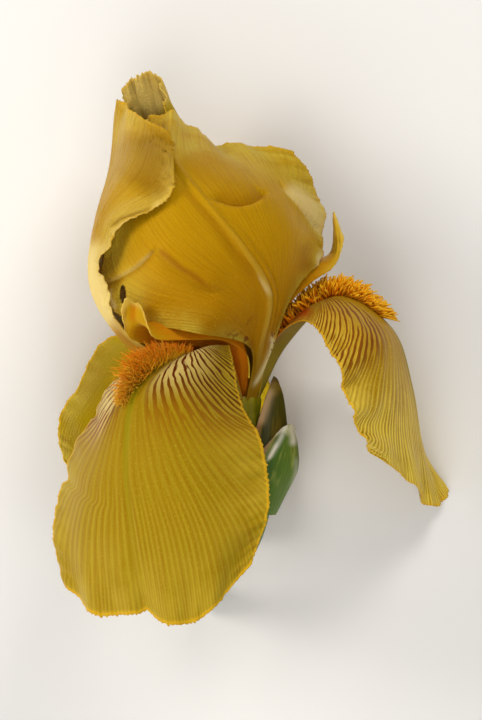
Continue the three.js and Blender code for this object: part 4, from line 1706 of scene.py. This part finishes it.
@dataclass
class Beard:
    """A beard of fine hairs that stand on a fall along its midrib."""

    name: str
    node: str
    fall: Blade
    # The stations on the fall where it starts and ends, and half its width
    start: float
    end: float
    half_width: float
    # Lengths of the hairs from its start to its end
    lengths: tuple[float, ...]
    finish: bpy.types.Material
    seed: int
    count: int = 2600
    # A hair's radius at its root, and its end's share of it
    radius: float = 0.14
    club: float = 0.45
    # How strongly the hairs lean along the fall, lean apart and curl
    lean: float = 0.35
    spread: float = 0.8
    curl: float = 0.22
    # How far aside the beard's middle runs at its start and its end, and how far all hairs lean to the left
    middle: tuple[float, float] = (0.0, 0.0)
    tilt: float = 0.0
    # How much closer the hairs stand towards its start
    gather: float = 1.0
    rings: int = 4
    sides: int = 3

    def build(self) -> bpy.types.Object:
        """Build, dress and place the beard.

        Returns:
            The piece.
        """
        hair = straight_rod(self.name + "_hair", self.sides, self.rings, 0.0)
        one = read_points(hair)
        tuft = bmesh.new()
        for _ in range(self.count):
            tuft.from_mesh(hair)
        mesh = keep_mesh(tuft, self.name)
        bpy.data.meshes.remove(hair)
        rng = np.random.default_rng(self.seed)
        station = ((np.arange(self.count) + rng.uniform(0, 1, self.count)) / self.count) ** self.gather
        settle(mesh, self.lay(one, station, rng))
        tint = rng.uniform(0, 1, self.count)
        points = len(one)
        add_map(mesh, Map.BLADE, np.repeat(tint, points), np.tile(one[:, 2], self.count))
        add_map(mesh, Map.SPAN, np.repeat(station, points), np.tile(one[:, 2], self.count))
        return present(mesh, self.name, self.node, [self.finish])

    def lay(self, one: Array, station: Array, rng: np.random.Generator) -> Array:
        """Stand each hair on the fall and bend it.

        Args:
            one: The points of the straight hair.
            station: Each hair's place along the beard.
            rng: Source of the draws.

        Returns:
            The points of all hairs, hair after hair, in the drawing.
        """
        skin = self.fall.skin
        v = self.start + (self.end - self.start) * station
        # Most hairs stand near the midrib, and the tuft narrows towards both of its ends
        across = np.clip(rng.normal(0, 0.5, self.count), -1.1, 1.1)
        shift = self.middle[0] + (self.middle[1] - self.middle[0]) * station
        half = self.half_width * (0.45 + 0.55 * np.sin(math.pi * np.sqrt(station)))
        u = np.clip((across * half + shift) / skin.half_width(v), -0.85, 0.85)
        root = self.fall.lay(u, v)
        side, ahead = skin.steps(u, v)
        out = self.fall.face.value * unit(np.cross(side, ahead))
        root += out * (self.fall.thickness * 0.3)
        length = curve_at(np.array(self.lengths)[:, None], station)[:, 0]
        length *= rng.uniform(0.4, 1.12, self.count) * (1 - 0.3 * np.abs(across))
        # The first hairs lean back and the others forwards, more and more
        lean = self.lean * rng.uniform(0.4, 1.6, self.count) * (2.4 * station - 0.3)
        spread = self.spread * across - self.tilt + rng.normal(0, 0.16, self.count)
        aim = unit(out + ahead * lean[:, None] + side * spread[:, None])
        bend = self.curl * np.clip(rng.normal(0, 1, (2, self.count, 1)), -1.8, 1.8)
        curl = ahead * (0.12 + bend[0]) + side * bend[1]
        height = one[:, 2]
        course = aim[:, None] * height[:, None] + curl[:, None] * (height**2)[:, None]
        line = root[:, None] + length[:, None, None] * course
        first = unit(np.cross(aim, side))
        second = np.cross(aim, first)
        # A hair thins or thickens towards its end, which is blunt
        taper = self.radius * (1.0 - (1.0 - self.club) * height) * np.where(height > 0.99, 0.55, 1.0)
        thick = rng.uniform(0.75, 1.25, self.count)[:, None] * taper
        ring = first[:, None] * (one[:, 0] * thick)[..., None]
        ring = ring + second[:, None] * (one[:, 1] * thick)[..., None]
        return (line + ring).reshape(-1, 3)


# Stage


@dataclass(frozen=True)
class Studio:
    """The pale floor, the soft lights and the camera that looks straight down."""

    floor_color: str = "e9e7e3"
    # Half the floor's width and how far it lies below the bloom, in metres
    floor_reach: float = 3.0
    floor_drop: float = 0.0002
    sky_color: str = "f2f4f7"
    sky_strength: float = 0.3
    # What the lamps point at, in metres
    lamps_aim: Point = (0.0, 0.0, 0.03)
    # The camera's place in the drawing, how many metres it sees, its focal length and its sensor's width
    camera_at: Point = (-2.25, -2.5, 1536.0)
    camera_reach: float = 20.0
    lens: float = 300.0
    sensor: float = 36.0

    def floor(self) -> None:
        """Lay the floor."""
        material = Shader("floor_paper").finish(self.floor_color, 0.9)
        slab = bmesh.new()
        level = Matrix.Translation((0, 0, -self.floor_drop))
        bmesh.ops.create_grid(slab, x_segments=2, y_segments=2, size=self.floor_reach, matrix=level)
        mesh = keep_mesh(slab, "floor")
        mesh.materials.append(material)
        floor = bpy.data.objects.new("floor", mesh)
        bpy.context.scene.collection.objects.link(floor)

    def lamp(self, name: str, place: Point, size: float, power: float, tint: str = "ffffff") -> None:
        """Hang a soft square light that points at the bloom.

        Args:
            name: The light's name.
            place: Where it hangs, in metres.
            size: Its side, in metres.
            power: Its strength, in watts.
            tint: Its colour.
        """
        light = bpy.data.lights.new(name, "AREA")
        light.size = size
        light.energy = power
        light.color = linear(tint)[:3]
        lamp = bpy.data.objects.new(name, light)
        lamp.location = place
        lamp.rotation_euler = (Vector(self.lamps_aim) - Vector(place)).to_track_quat("-Z", "Y").to_euler()
        bpy.context.scene.collection.objects.link(lamp)

    def build(self) -> None:
        """Set the floor, the lights, the sky and the camera."""
        self.floor()
        self.lamp("window", (0.35, 0.75, 0.7), 0.35, 5.0, "fffaf2")
        self.lamp("side", (-0.85, 0.3, 0.6), 0.45, 6.0, "fffaf4")
        self.lamp("low", (-0.1, -0.8, 0.6), 0.7, 2.8)
        self.lamp("above", (-0.1, -0.3, 1.15), 0.6, 3.2)
        self.lamp("left", (-0.7, -0.4, 0.2), 0.35, 1.4, "fffaf4")
        world = bpy.data.worlds.new("sky")
        world.use_nodes = True
        sky = world.node_tree.nodes["Background"]
        sky.inputs["Color"].default_value = linear(self.sky_color)
        sky.inputs["Strength"].default_value = self.sky_strength
        bpy.context.scene.world = world
        bpy.context.scene.view_settings.view_transform = "Standard"
        lens = bpy.data.cameras.new("camera")
        lens.lens = self.lens
        lens.sensor_width = self.sensor
        lens.clip_end = self.camera_reach
        camera = bpy.data.objects.new("camera", lens)
        camera.location = (np.array(self.camera_at) - DRAWN_ORIGIN) * MM
        bpy.context.scene.collection.objects.link(camera)
        bpy.context.scene.camera = camera


# The bloom


def petal_skin(net: Net, azimuth: float) -> Skin:
    """Make the skin of a petal whose claw springs from the tube's rim.

    Args:
        net: The veins beyond the claw's seat.
        azimuth: Degrees round the tube where the claw springs.

    Returns:
        The skin.
    """
    return Skin(seated(net, azimuth, CLAW_RING, CLAW_HALF_WIDTH))


@dataclass
class Bloom:
    """The whole flower: falls with beards, standards, style, stamens, tube, bracts and stem."""

    pieces: list[bpy.types.Object] = field(default_factory=list)

    def report(self, piece: bpy.types.Object) -> None:
        """Keep a piece and log it.

        Args:
            piece: The piece that has been built.
        """
        self.pieces.append(piece)
        LOG.info("%s: %d faces before its modifiers", piece.name, len(piece.data.polygons))

    def falls(self) -> dict[str, Blade]:
        """Describe the three falls.

        Returns:
            The falls, by the way they point.
        """
        under = PetalFinish(
            "fall_under", seed=21.0, gold="b08c18", deep="8f7a1c", ochre="8f6c0c", pale="bfa550",
            rib=0.7,
        ).make()
        # The back fall's under face: a lighter copy of the under face, as painted light where the fall lies
        # in shade
        painted_light_under = PetalFinish(
            "fall_back_under_painted_light", seed=22.0, gold="e0c018", deep="c4ac1c", ochre="bc9410", pale="f0d860",
            rib=0.5,
        ).make()
        front = Blade(
            "fall_front_petal", "fall_front", "petal_fall", petal_skin(FALL_FRONT_VEINS, FRONT_FALL),
            [FallFinish("fall_front_upper", seed=2.0).make(), under],
            seed=11, split=(150, 220), face=Face.TURNED, spread=FALL_SPREAD,
            waves=Waves(side=0.7, side_count=5, end=0.5, end_count=2.5, start=0.15),
            ribs=0.05, frill=0.35, tooth_height=0.7, tooth_pitch=1.25,
            end_shift=(
                (-1, -0.9), (-0.6, -0.9), (-0.25, -1.5), (-0.06, -1.4), (0.0, -2.3), (0.06, -1.4),
                (0.17, -0.6), (0.3, -1.0), (0.45, -1.5), (0.7, -1.4), (1, -0.8),
            ),
            left_shift=(
                (0, 0), (0.6, 0), (0.7, 0), (0.75, -0.5), (0.782, -2.0), (0.798, 0.8),
                (0.82, 1.5), (0.9, 1.0), (1, 0.3),
            ),
            ridges=(Ridge(0, -0.15, 0.8, 0.35), Ridge(1.6, 0.15, 0.9, 0.4), Ridge(-1.8, 0.1, 1.0, 0.4)),
        )
        right_finish = FallFinish(
            "fall_right_upper", line_end=0.56, cream_end=0.5, cream=0.4, clear=0.1, left_share=1.0,
            far_start=0.45, far_veins=0.8, seed=5.0, gold="a88008", pale="ecd050", brown="6a2c06",
            amber="905608", ochre="8a5808", haft="b89028", claw="a08420", dark="a83404",
        )
        right = Blade(
            "fall_right_petal", "fall_right", "petal_fall", petal_skin(FALL_RIGHT_VEINS, RIGHT_FALL),
            [right_finish.make(), under],
            seed=12, split=(130, 220), face=Face.TURNED, spread=FALL_SPREAD,
            waves=Waves(side=0.9, side_count=6, end=0.8, end_count=2, start=0.4),
            ribs=0.16, frill=0.45, tooth_height=0.6,
            strokes=(Stroke(((4.5, 1), (7.5, 6), (11, 8.5), (16, 10.5)), 2.2, 1.6, -0.95, 0.15),),
        )
        back = Blade(
            "fall_back_petal", "fall_back", "petal_fall", petal_skin(FALL_BACK_VEINS, BACK_FALL),
            [FallFinish("fall_back_upper", seed=8.0, line_end=0.5).make(), painted_light_under],
            seed=13, split=(100, 160), face=Face.TURNED, spread=FALL_SPREAD,
            waves=Waves(side=0.8, side_count=5, end=0.7, end_count=2.5, start=0.7), ribs=0.09,
        )
        return {"front": front, "right": right, "back": back}

    def beards(self, falls: dict[str, Blade]) -> list[Beard]:
        """Describe the three beards.

        Args:
            falls: The falls they stand on.

        Returns:
            The beards.
        """
        front = HairFinish(
            "beard_front_hair", "e4b828", "e0a018", "cc5a08", "c44c06", "e4b834", claw_end=0.25, front=0.6,
        ).make()
        right = HairFinish(
            "beard_right_hair", "d05400", "e07c00", "ffb81c", "d03c04", "ffc830", claw_end=0.6, front=0.4,
        ).make()
        return [
            Beard(
                "beard_front_hairs", "beard_front", falls["front"], start=0.31, end=0.54, half_width=2.8,
                lengths=(1.8, 4.8, 6.8, 6.6, 4.4, 2.4), finish=front, seed=31,
                count=2100, radius=0.125, club=0.65, spread=1.0, middle=(-1.0, -3.0), tilt=0.25, gather=1.4,
            ),
            Beard(
                "beard_right_hairs", "beard_right", falls["right"], start=0.06, end=0.46, half_width=2.6,
                lengths=(2.2, 4.4, 5.6, 5.6, 4.8, 3.8), finish=right, seed=32,
                count=2000, radius=0.24, club=1.5, curl=0.24, spread=0.6,
            ),
            Beard(
                "beard_back_hairs", "beard_back", falls["back"], start=0.22, end=0.42, half_width=2.6,
                lengths=(1.0, 1.6, 2.6, 3.0, 2.0), finish=front, seed=33, count=900,
            ),
        ]

    def standards(self) -> list[Blade]:
        """Describe the three standards.

        Returns:
            The standards.
        """
        inner = PetalFinish(
            "standard_inner", seed=41.0, gold="b58f1a", deep="a07408", ochre="946c0a", pale="c4ab50",
        ).make()
        right_finish = PetalFinish(
            "standard_right_outer", seed=43.0, spots=0.8, olive="b8a040", rib=0.35, claw="a87c0c",
            dark="8a5404", light="ecdca0",
        )
        right = Blade(
            "standard_right_petal", "standard_right", "petal_standard",
            petal_skin(STANDARD_RIGHT_VEINS, RIGHT_STANDARD),
            [right_finish.make(), inner],
            seed=14, split=(160, 230), waves=Waves(side=0.6, side_count=5, end=0.7, end_count=3, start=0.3),
            tooth_height=0.5, ribs=0.03,
            end_shift=((-1, 0.2), (-0.4, 0.2), (0.0, 0.3), (0.35, -0.2), (0.6, 0.6), (0.85, 0.0), (1, -1.6)),
            left_shift=((0, 0), (0.2, 0.3), (0.36, 1.6), (0.48, 2.3), (0.62, 2.2), (0.8, 0.6), (1, 0)),
            right_shift=((0, 0), (0.1, 0.3), (0.18, 1.2), (0.27, 1.7), (0.34, 1.0), (0.42, 0), (1, 0)),
            openings=(Opening((-31.3, 13.7), 0.95, 2.4),),
            ridges=(
                Ridge(0.0, 0.6, 0.6),
                Ridge(-2.0, -0.5, 1.3, 0.12, 0.85),
                Ridge(1.9, 0.3, 0.6, 0.15, 0.7),
                Ridge(3.4, -0.25, 0.9, 0.15, 0.7),
            ),
            pits=(
                Pits(((-20, 50), (-12, 48), (0, 48), (9, 46)), 46, 2.2, 0.1, 0.45),
                Pits(((12, 40), (16, 34), (16, 28)), 26, 1.4, 0.12, 0.4),
            ),
            strokes=(
                # Painted highlight along the crease's lit edge
                Stroke(
                    ((-36.1, 17.6), (-33.6, 18.2), (-31, 19.1), (-28.8, 20.2), (-25.9, 22.1), (-22.3, 25.6)),
                    0.3, 0.2, 0.2, 0.12,
                ),
                # Painted shade just under the crease
                Stroke(
                    ((-36, 17.1), (-33, 17.6), (-29, 19.4), (-25.8, 21.5), (-22.2, 24.9)),
                    0.2, 0.8, -0.45, 0.15,
                ),
                # Painted light on the band beside the hole, which the left standard shades
                Stroke(((-32.7, 16.8), (-32.6, 13.8), (-31.5, 10.8)), 0.35, 0.35, 0.6, 0.2),
                # Painted highlight along the claw's keel
                Stroke(((4.9, 5), (4.6, 0.4), (2.6, -5.6), (0.2, -9.9)), 0.5, 0.55, 0.85, 0.2),
                # Painted light along the left margin, against the shade that the left standard casts there
                Stroke(
                    ((-37.8, 22.5), (-37, 18), (-35.2, 14), (-33.2, 9.5), (-31.4, 6.5)),
                    1.4, 1.4, 0.8, 0.3,
                ),
                Stroke(((0.4, 3.5), (-0.4, -1), (-1, -6)), 1.2, 1.0, -0.6, 0.3),
                # Painted shade along the crease's line down to the right
                Stroke(
                    ((-21.5, 25.8), (-19.2, 23.75), (-15.8, 20.8), (-12.7, 18.75), (-7, 13.8)),
                    0.45, 0.7, -0.75, 0.2,
                ),
                # Painted shade inside the crescent-shaped pocket
                Stroke(((-9.6, 37.7), (-3.3, 35.2), (2.9, 36.9), (4.2, 38.5)), 3.2, 0.25, -0.5, 0.15),
                Stroke(((7.5, 40.4), (13.3, 34.2), (19, 27.5)), 3.6, 0.25, 0.4, 0.2),
                # Painted shade: a darker ochre patch by the right margin
                Stroke(((13.6, 27.5), (13.2, 23), (13.4, 18.5)), 1.8, 1.8, -0.5, 0.3),
                # Painted highlight along the right margin
                Stroke(((16.4, 25.5), (16.9, 21), (16.2, 17)), 0.9, 0.9, 0.7, 0.3),
                # Painted highlight on the midrib
                Stroke(((0.6, 20), (3.1, 16.5), (5.3, 12.8)), 0.5, 0.5, 0.35, 0.4),
                # Painted shade on the midrib's lower left side
                Stroke(
                    ((-18, 42.5), (-13.4, 37.3), (-8.4, 31.6), (-3.9, 25.5), (0, 21), (4.6, 13.8)),
                    0.2, 1.6, -0.4, 0.2,
                ),
                Stroke(((-16, 49), (-6, 43), (4, 44)), 5.0, 5.0, -0.22, 0.3),
            ),
            folds=(
                Fold(((-37, 17), (-30, 19.5), (-25, 22.8), (-22, 26.3)), 0.45, -0.5, 3.0, 0.28, 0.12),
                Fold(
                    ((-22.4, 26.8), (-19.5, 22.9), (-15, 19.6), (-10, 16.4), (-6, 14)),
                    1.0, -0.6, 3.4, 0.45, 0.3,
                ),
                Fold(
                    ((-11, 37.4), (-7, 35.8), (-3.3, 35), (1, 35.8), (3.6, 37.8), (4.4, 39)),
                    -1.0, 0.25, 2.6, 0.4, 0.2,
                ),
                Fold(((6.5, 43), (9.3, 38.8), (13.3, 34.2), (18, 29.5)), 0.6, -0.5, 2.6, 0.45, 0.25),
                Fold(((-20, 57), (-19, 50), (-19.5, 44)), -0.4, 0.4, 2.2, 0.6, 0.3),
            ),
        )
        left_finish = PetalFinish("standard_left_outer", seed=45.0, gold="b08610", pale="c8ab48", mottle=0.85)
        left = Blade(
            "standard_left_petal", "standard_left", "petal_standard",
            petal_skin(STANDARD_LEFT_VEINS, LEFT_STANDARD),
            [left_finish.make(), inner],
            seed=15, split=(120, 190), waves=Waves(side=0.8, side_count=6, end=0.6, end_count=2, start=0.55),
            frill=0.5, ribs=0.13, tooth_height=0.55,
            right_shift=((0, 0), (0.2, 0.8), (0.35, 1.6), (0.5, 1.6), (0.6, 0.5), (0.75, 0), (1, 0)),
            pits=(Pits(((-21.5, 53), (-19.8, 48), (-19.8, 43), (-23, 38)), 70, 1.6, 0.5),),
            strokes=(
                # Painted light on the left strip
                Stroke(((-39, 29), (-38.6, 16), (-33, 3.5)), 3.4, 3.4, 0.85, 0.2),
                Stroke(((-27, 56), (-24, 46), (-28, 37)), 7.0, 7.0, -0.7, 0.25),
                # Painted shade along the crinkle by the flap's lower margin
                Stroke(((-35, 29.6), (-32.5, 31.6), (-29, 33), (-26, 34.2), (-23, 36)), 0.5, 0.5, -0.6, 0.2),
                Stroke(
                    ((-34.4, 28.4), (-32.5, 30.2), (-27.1, 32.8), (-20.8, 37.6), (-18.6, 41)),
                    0.7, 0.7, 0.35, 0.1,
                ),
            ),
            folds=(
                Fold(
                    ((-35, 29.8), (-32.5, 32), (-29, 33.3), (-26, 34.6), (-22.6, 36.8)),
                    0.35, -0.3, 1.6, 0.35, 0.2,
                ),
            ),
        )
        back = Blade(
            "standard_back_petal", "standard_back", "petal_standard",
            petal_skin(STANDARD_BACK_VEINS, BACK_STANDARD),
            [PetalFinish("standard_back_outer", seed=47.0).make(), inner],
            seed=16, split=(90, 150), waves=Waves(side=0.6, side_count=5, end=0.5, end_count=2.5, start=0.85),
            tooth_height=1.0, ribs=0.05,
            # Painted light on the tip, which lies deep in shade
            strokes=(Stroke(((-31, 68), (-26, 64), (-21, 60)), 7.0, 7.0, 0.5, 0.2),),
        )
        return [right, left, back]

    def arms(self) -> list[Blade]:
        """Describe the three style arms.

        Returns:
            The style arms.
        """
        finish = ArmFinish("style_arm", amber="dc8408", deep="d07006", pale="b8900c", light="d8b850").make()
        yellow = ArmFinish(
            "style_arm_yellow", amber="c08a0c", deep="a86a06", low="b87a08", pale="d2ab2c",
        ).make()
        crest_painted_light = (
            # Painted highlight on the crest's left wall
            Stroke(((-30.6, 5), (-31.8, 9), (-30.4, 12.4)), 1.1, 1.1, 0.45, 0.2),
            # Painted shade in the crest's trough
            Stroke(((-29, 6.6), (-28.8, 9.5), (-28.6, 11.6)), 1.0, 1.0, -0.5, 0.25),
        )
        return [
            Blade(
                f"style_arm_{name}", "style", "style",
                Skin(seated(net, azimuth, STYLE_RING, STYLE_HALF_WIDTH, STYLE_LIFT)),
                [skin], seed=seed, split=(48, 70), face=Face.TURNED, strokes=strokes,
                tooth_height=0.5, tooth_pitch=0.9, tooth_start=0.75, frill=0.1, ribs=0.04, margin_share=0.35,
            )
            for name, net, azimuth, skin, strokes, seed in (
                ("front", ARM_FRONT_VEINS, FRONT_FALL, finish, crest_painted_light, 50),
                ("right", ARM_RIGHT_VEINS, RIGHT_FALL, yellow, (), 51),
                ("back", ARM_BACK_VEINS, BACK_FALL, finish, (), 52),
            )
        ]

    def stalks(self) -> list[Stalk]:
        """Describe the tube, the stem and the style's column.

        Returns:
            The three stalks.
        """
        tube = StalkFinish("tube_skin", "807608", "545c10", "9c8c18", seed=3.0).make()
        stem = StalkFinish("stem_skin", "4c6a28", "587836", "7d9450", cut="b9bf8c", seed=6.0).make()
        column = StalkFinish("column_skin", "b0801a", "b47407", "c79c32", seed=9.0).make()
        return [
            Stalk(
                "tube_body", "floral_tube", "tube",
                (
                    (-1.05, -11.6, 36), (-1.05, -12.2, 36), (-1, -14.2, 36), (-0.7, -17, 36),
                    (0.2, -22, 36), (1.4, -29, 36), (1.9, -34.8, 36),
                ),
                (3.35, 3.6, 3.5, 3.0, 2.6, 3.3, 3.2), tube, sides=60, flutes=6, flute_depth=0.07,
            ),
            Stalk(
                "stem_body", "stem", "stem",
                (
                    (1.9, -35.6, 36), (1.7, -41, 35.4), (-0.8, -48, 30.5),
                    (-5, -54.5, 21), (-9, -60, 10.5), (-11.5, -63.5, 1.2),
                ),
                (3.1, 3.1, 3.2, 3.2, 3.2, 3.2), stem, sides=60, rings=90,
            ),
            Stalk(
                "style_column", "style", "style",
                ((-1, -12.82, 36), (-1.1, -9.6, 36), (-1.4, -7.2, 36)),
                (1.2, 1.6, 1.3), column, sides=32, rings=16,
            ),
        ]

    def stamens(self, falls: dict[str, Blade]) -> list[Stalk]:
        """Describe the stamens, each over the claw of its fall.

        Args:
            falls: The falls.

        Returns:
            A thread and an anther for each.
        """
        finish = AntherFinish("anther_dust").make()
        made = []
        for name, fall in falls.items():
            node = f"stamen_{name}"
            thread = fall.over_midrib(((0.035, 1.3), (0.07, 1.4), (0.11, 1.6), (0.15, 1.9)))
            anther = fall.over_midrib(((0.13, 1.8), (0.15, 1.9), (0.17, 2.0), (0.19, 2.1)))
            made.append(
                Stalk(
                    f"{node}_thread", node, "stamen", thread, (0.4, 0.36, 0.3, 0.25), finish,
                    sides=16, rings=16,
                )
            )
            made.append(
                Stalk(
                    f"{node}_anther", node, "stamen", anther, (0.3, 0.8, 0.75, 0.2), finish,
                    sides=24, rings=24, flutes=4, flute_depth=0.14,
                )
            )
        return made

    def bracts(self) -> list[Blade]:
        """Describe the two bracts.

        Returns:
            The bracts.
        """
        common = dict(
            split=(60, 90), thickness=0.9, margin_share=0.35, tooth_height=0.12, tooth_pitch=1.6, frill=0.0,
            ribs=0.03,
        )
        inside = BractFinish(
            "bract_inside", dark="5c6a30", green="7c8a4a", bloom="a3a06c", edge="8a6c4c", tip="93704e",
            tip_start=0.9, deep="3f4c20", light="b4b088", seed=3.0,
        ).make()
        outer_finish = BractFinish(
            "spathe_outer_skin", dark="3a5a14", green="688022", bloom="a4a850", edge="8c6a54", tip="d6d2c0",
            tip_start=0.87, deep="14362a", light="dcd8c4", seed=1.0,
        )
        inner_finish = BractFinish(
            "spathe_inner_skin", dark="32340a", green="544e12", bloom="7a6420", edge="8c6136", tip="7a4424",
            tip_start=0.84, deep="3c240c", light="b8986c", seed=2.0,
        )
        return [
            Blade(
                "spathe_outer_leaf", "spathe_outer", "bract",
                Skin(sheathed(SPATHE_OUTER_VEINS, (1.6, -41, 35.4))),
                [outer_finish.make(), inside],
                seed=61, **common,
                strokes=(
                    # Painted highlight on the bulge by the tip
                    Stroke(((10.2, -18), (10.6, -21), (10.3, -24.5)), 0.9, 0.9, 0.9, 0.25),
                    Stroke(((1, -36), (2, -31), (4.5, -26)), 2.4, 2.4, -0.7, 0.3),
                    # Painted highlights in two diagonal lines
                    Stroke(((4, -28), (6.5, -24), (8.6, -20)), 0.5, 0.5, 0.6, 0.2),
                    Stroke(((2.5, -30.5), (5, -26.5), (7, -22.5)), 0.4, 0.4, 0.45, 0.2),
                    # Painted highlight along the right edge
                    Stroke(((9.6, -35), (10.9, -31), (11.2, -26)), 0.5, 0.5, 0.35, 0.2),
                ),
            ),
            Blade(
                "spathe_inner_leaf", "spathe_inner", "bract",
                Skin(sheathed(SPATHE_INNER_VEINS, (1.9, -37.5, 35.9))),
                [inner_finish.make(), inside],
                seed=62, **common,
                strokes=(
                    Stroke(((5.4, -9), (3.8, -14), (2.2, -19.5)), 1.1, 1.1, 0.75, 0.2),
                    Stroke(((5.6, -4.5), (6.4, -8.5)), 1.6, 1.6, -0.6, 0.2),
                    Stroke(((9, -11), (9.9, -15), (10, -19)), 0.5, 0.5, 0.3, 0.2),
                ),
            ),
        ]

    def build(self) -> None:
        """Build every piece of the bloom, from the stem upwards."""
        falls = self.falls()
        parts = (
            *self.stalks(), *self.bracts(), *falls.values(), *self.beards(falls),
            *self.stamens(falls), *self.arms(), *self.standards(),
        )
        for part in parts:
            self.report(part.build())
        LOG.info("%d pieces in all", len(self.pieces))


def main() -> None:
    """Load the frame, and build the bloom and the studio."""
    logging.basicConfig(level=logging.INFO, format="%(message)s")
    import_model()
    Bloom().build()
    Studio().build()


if __name__ == "__main__":
    main()
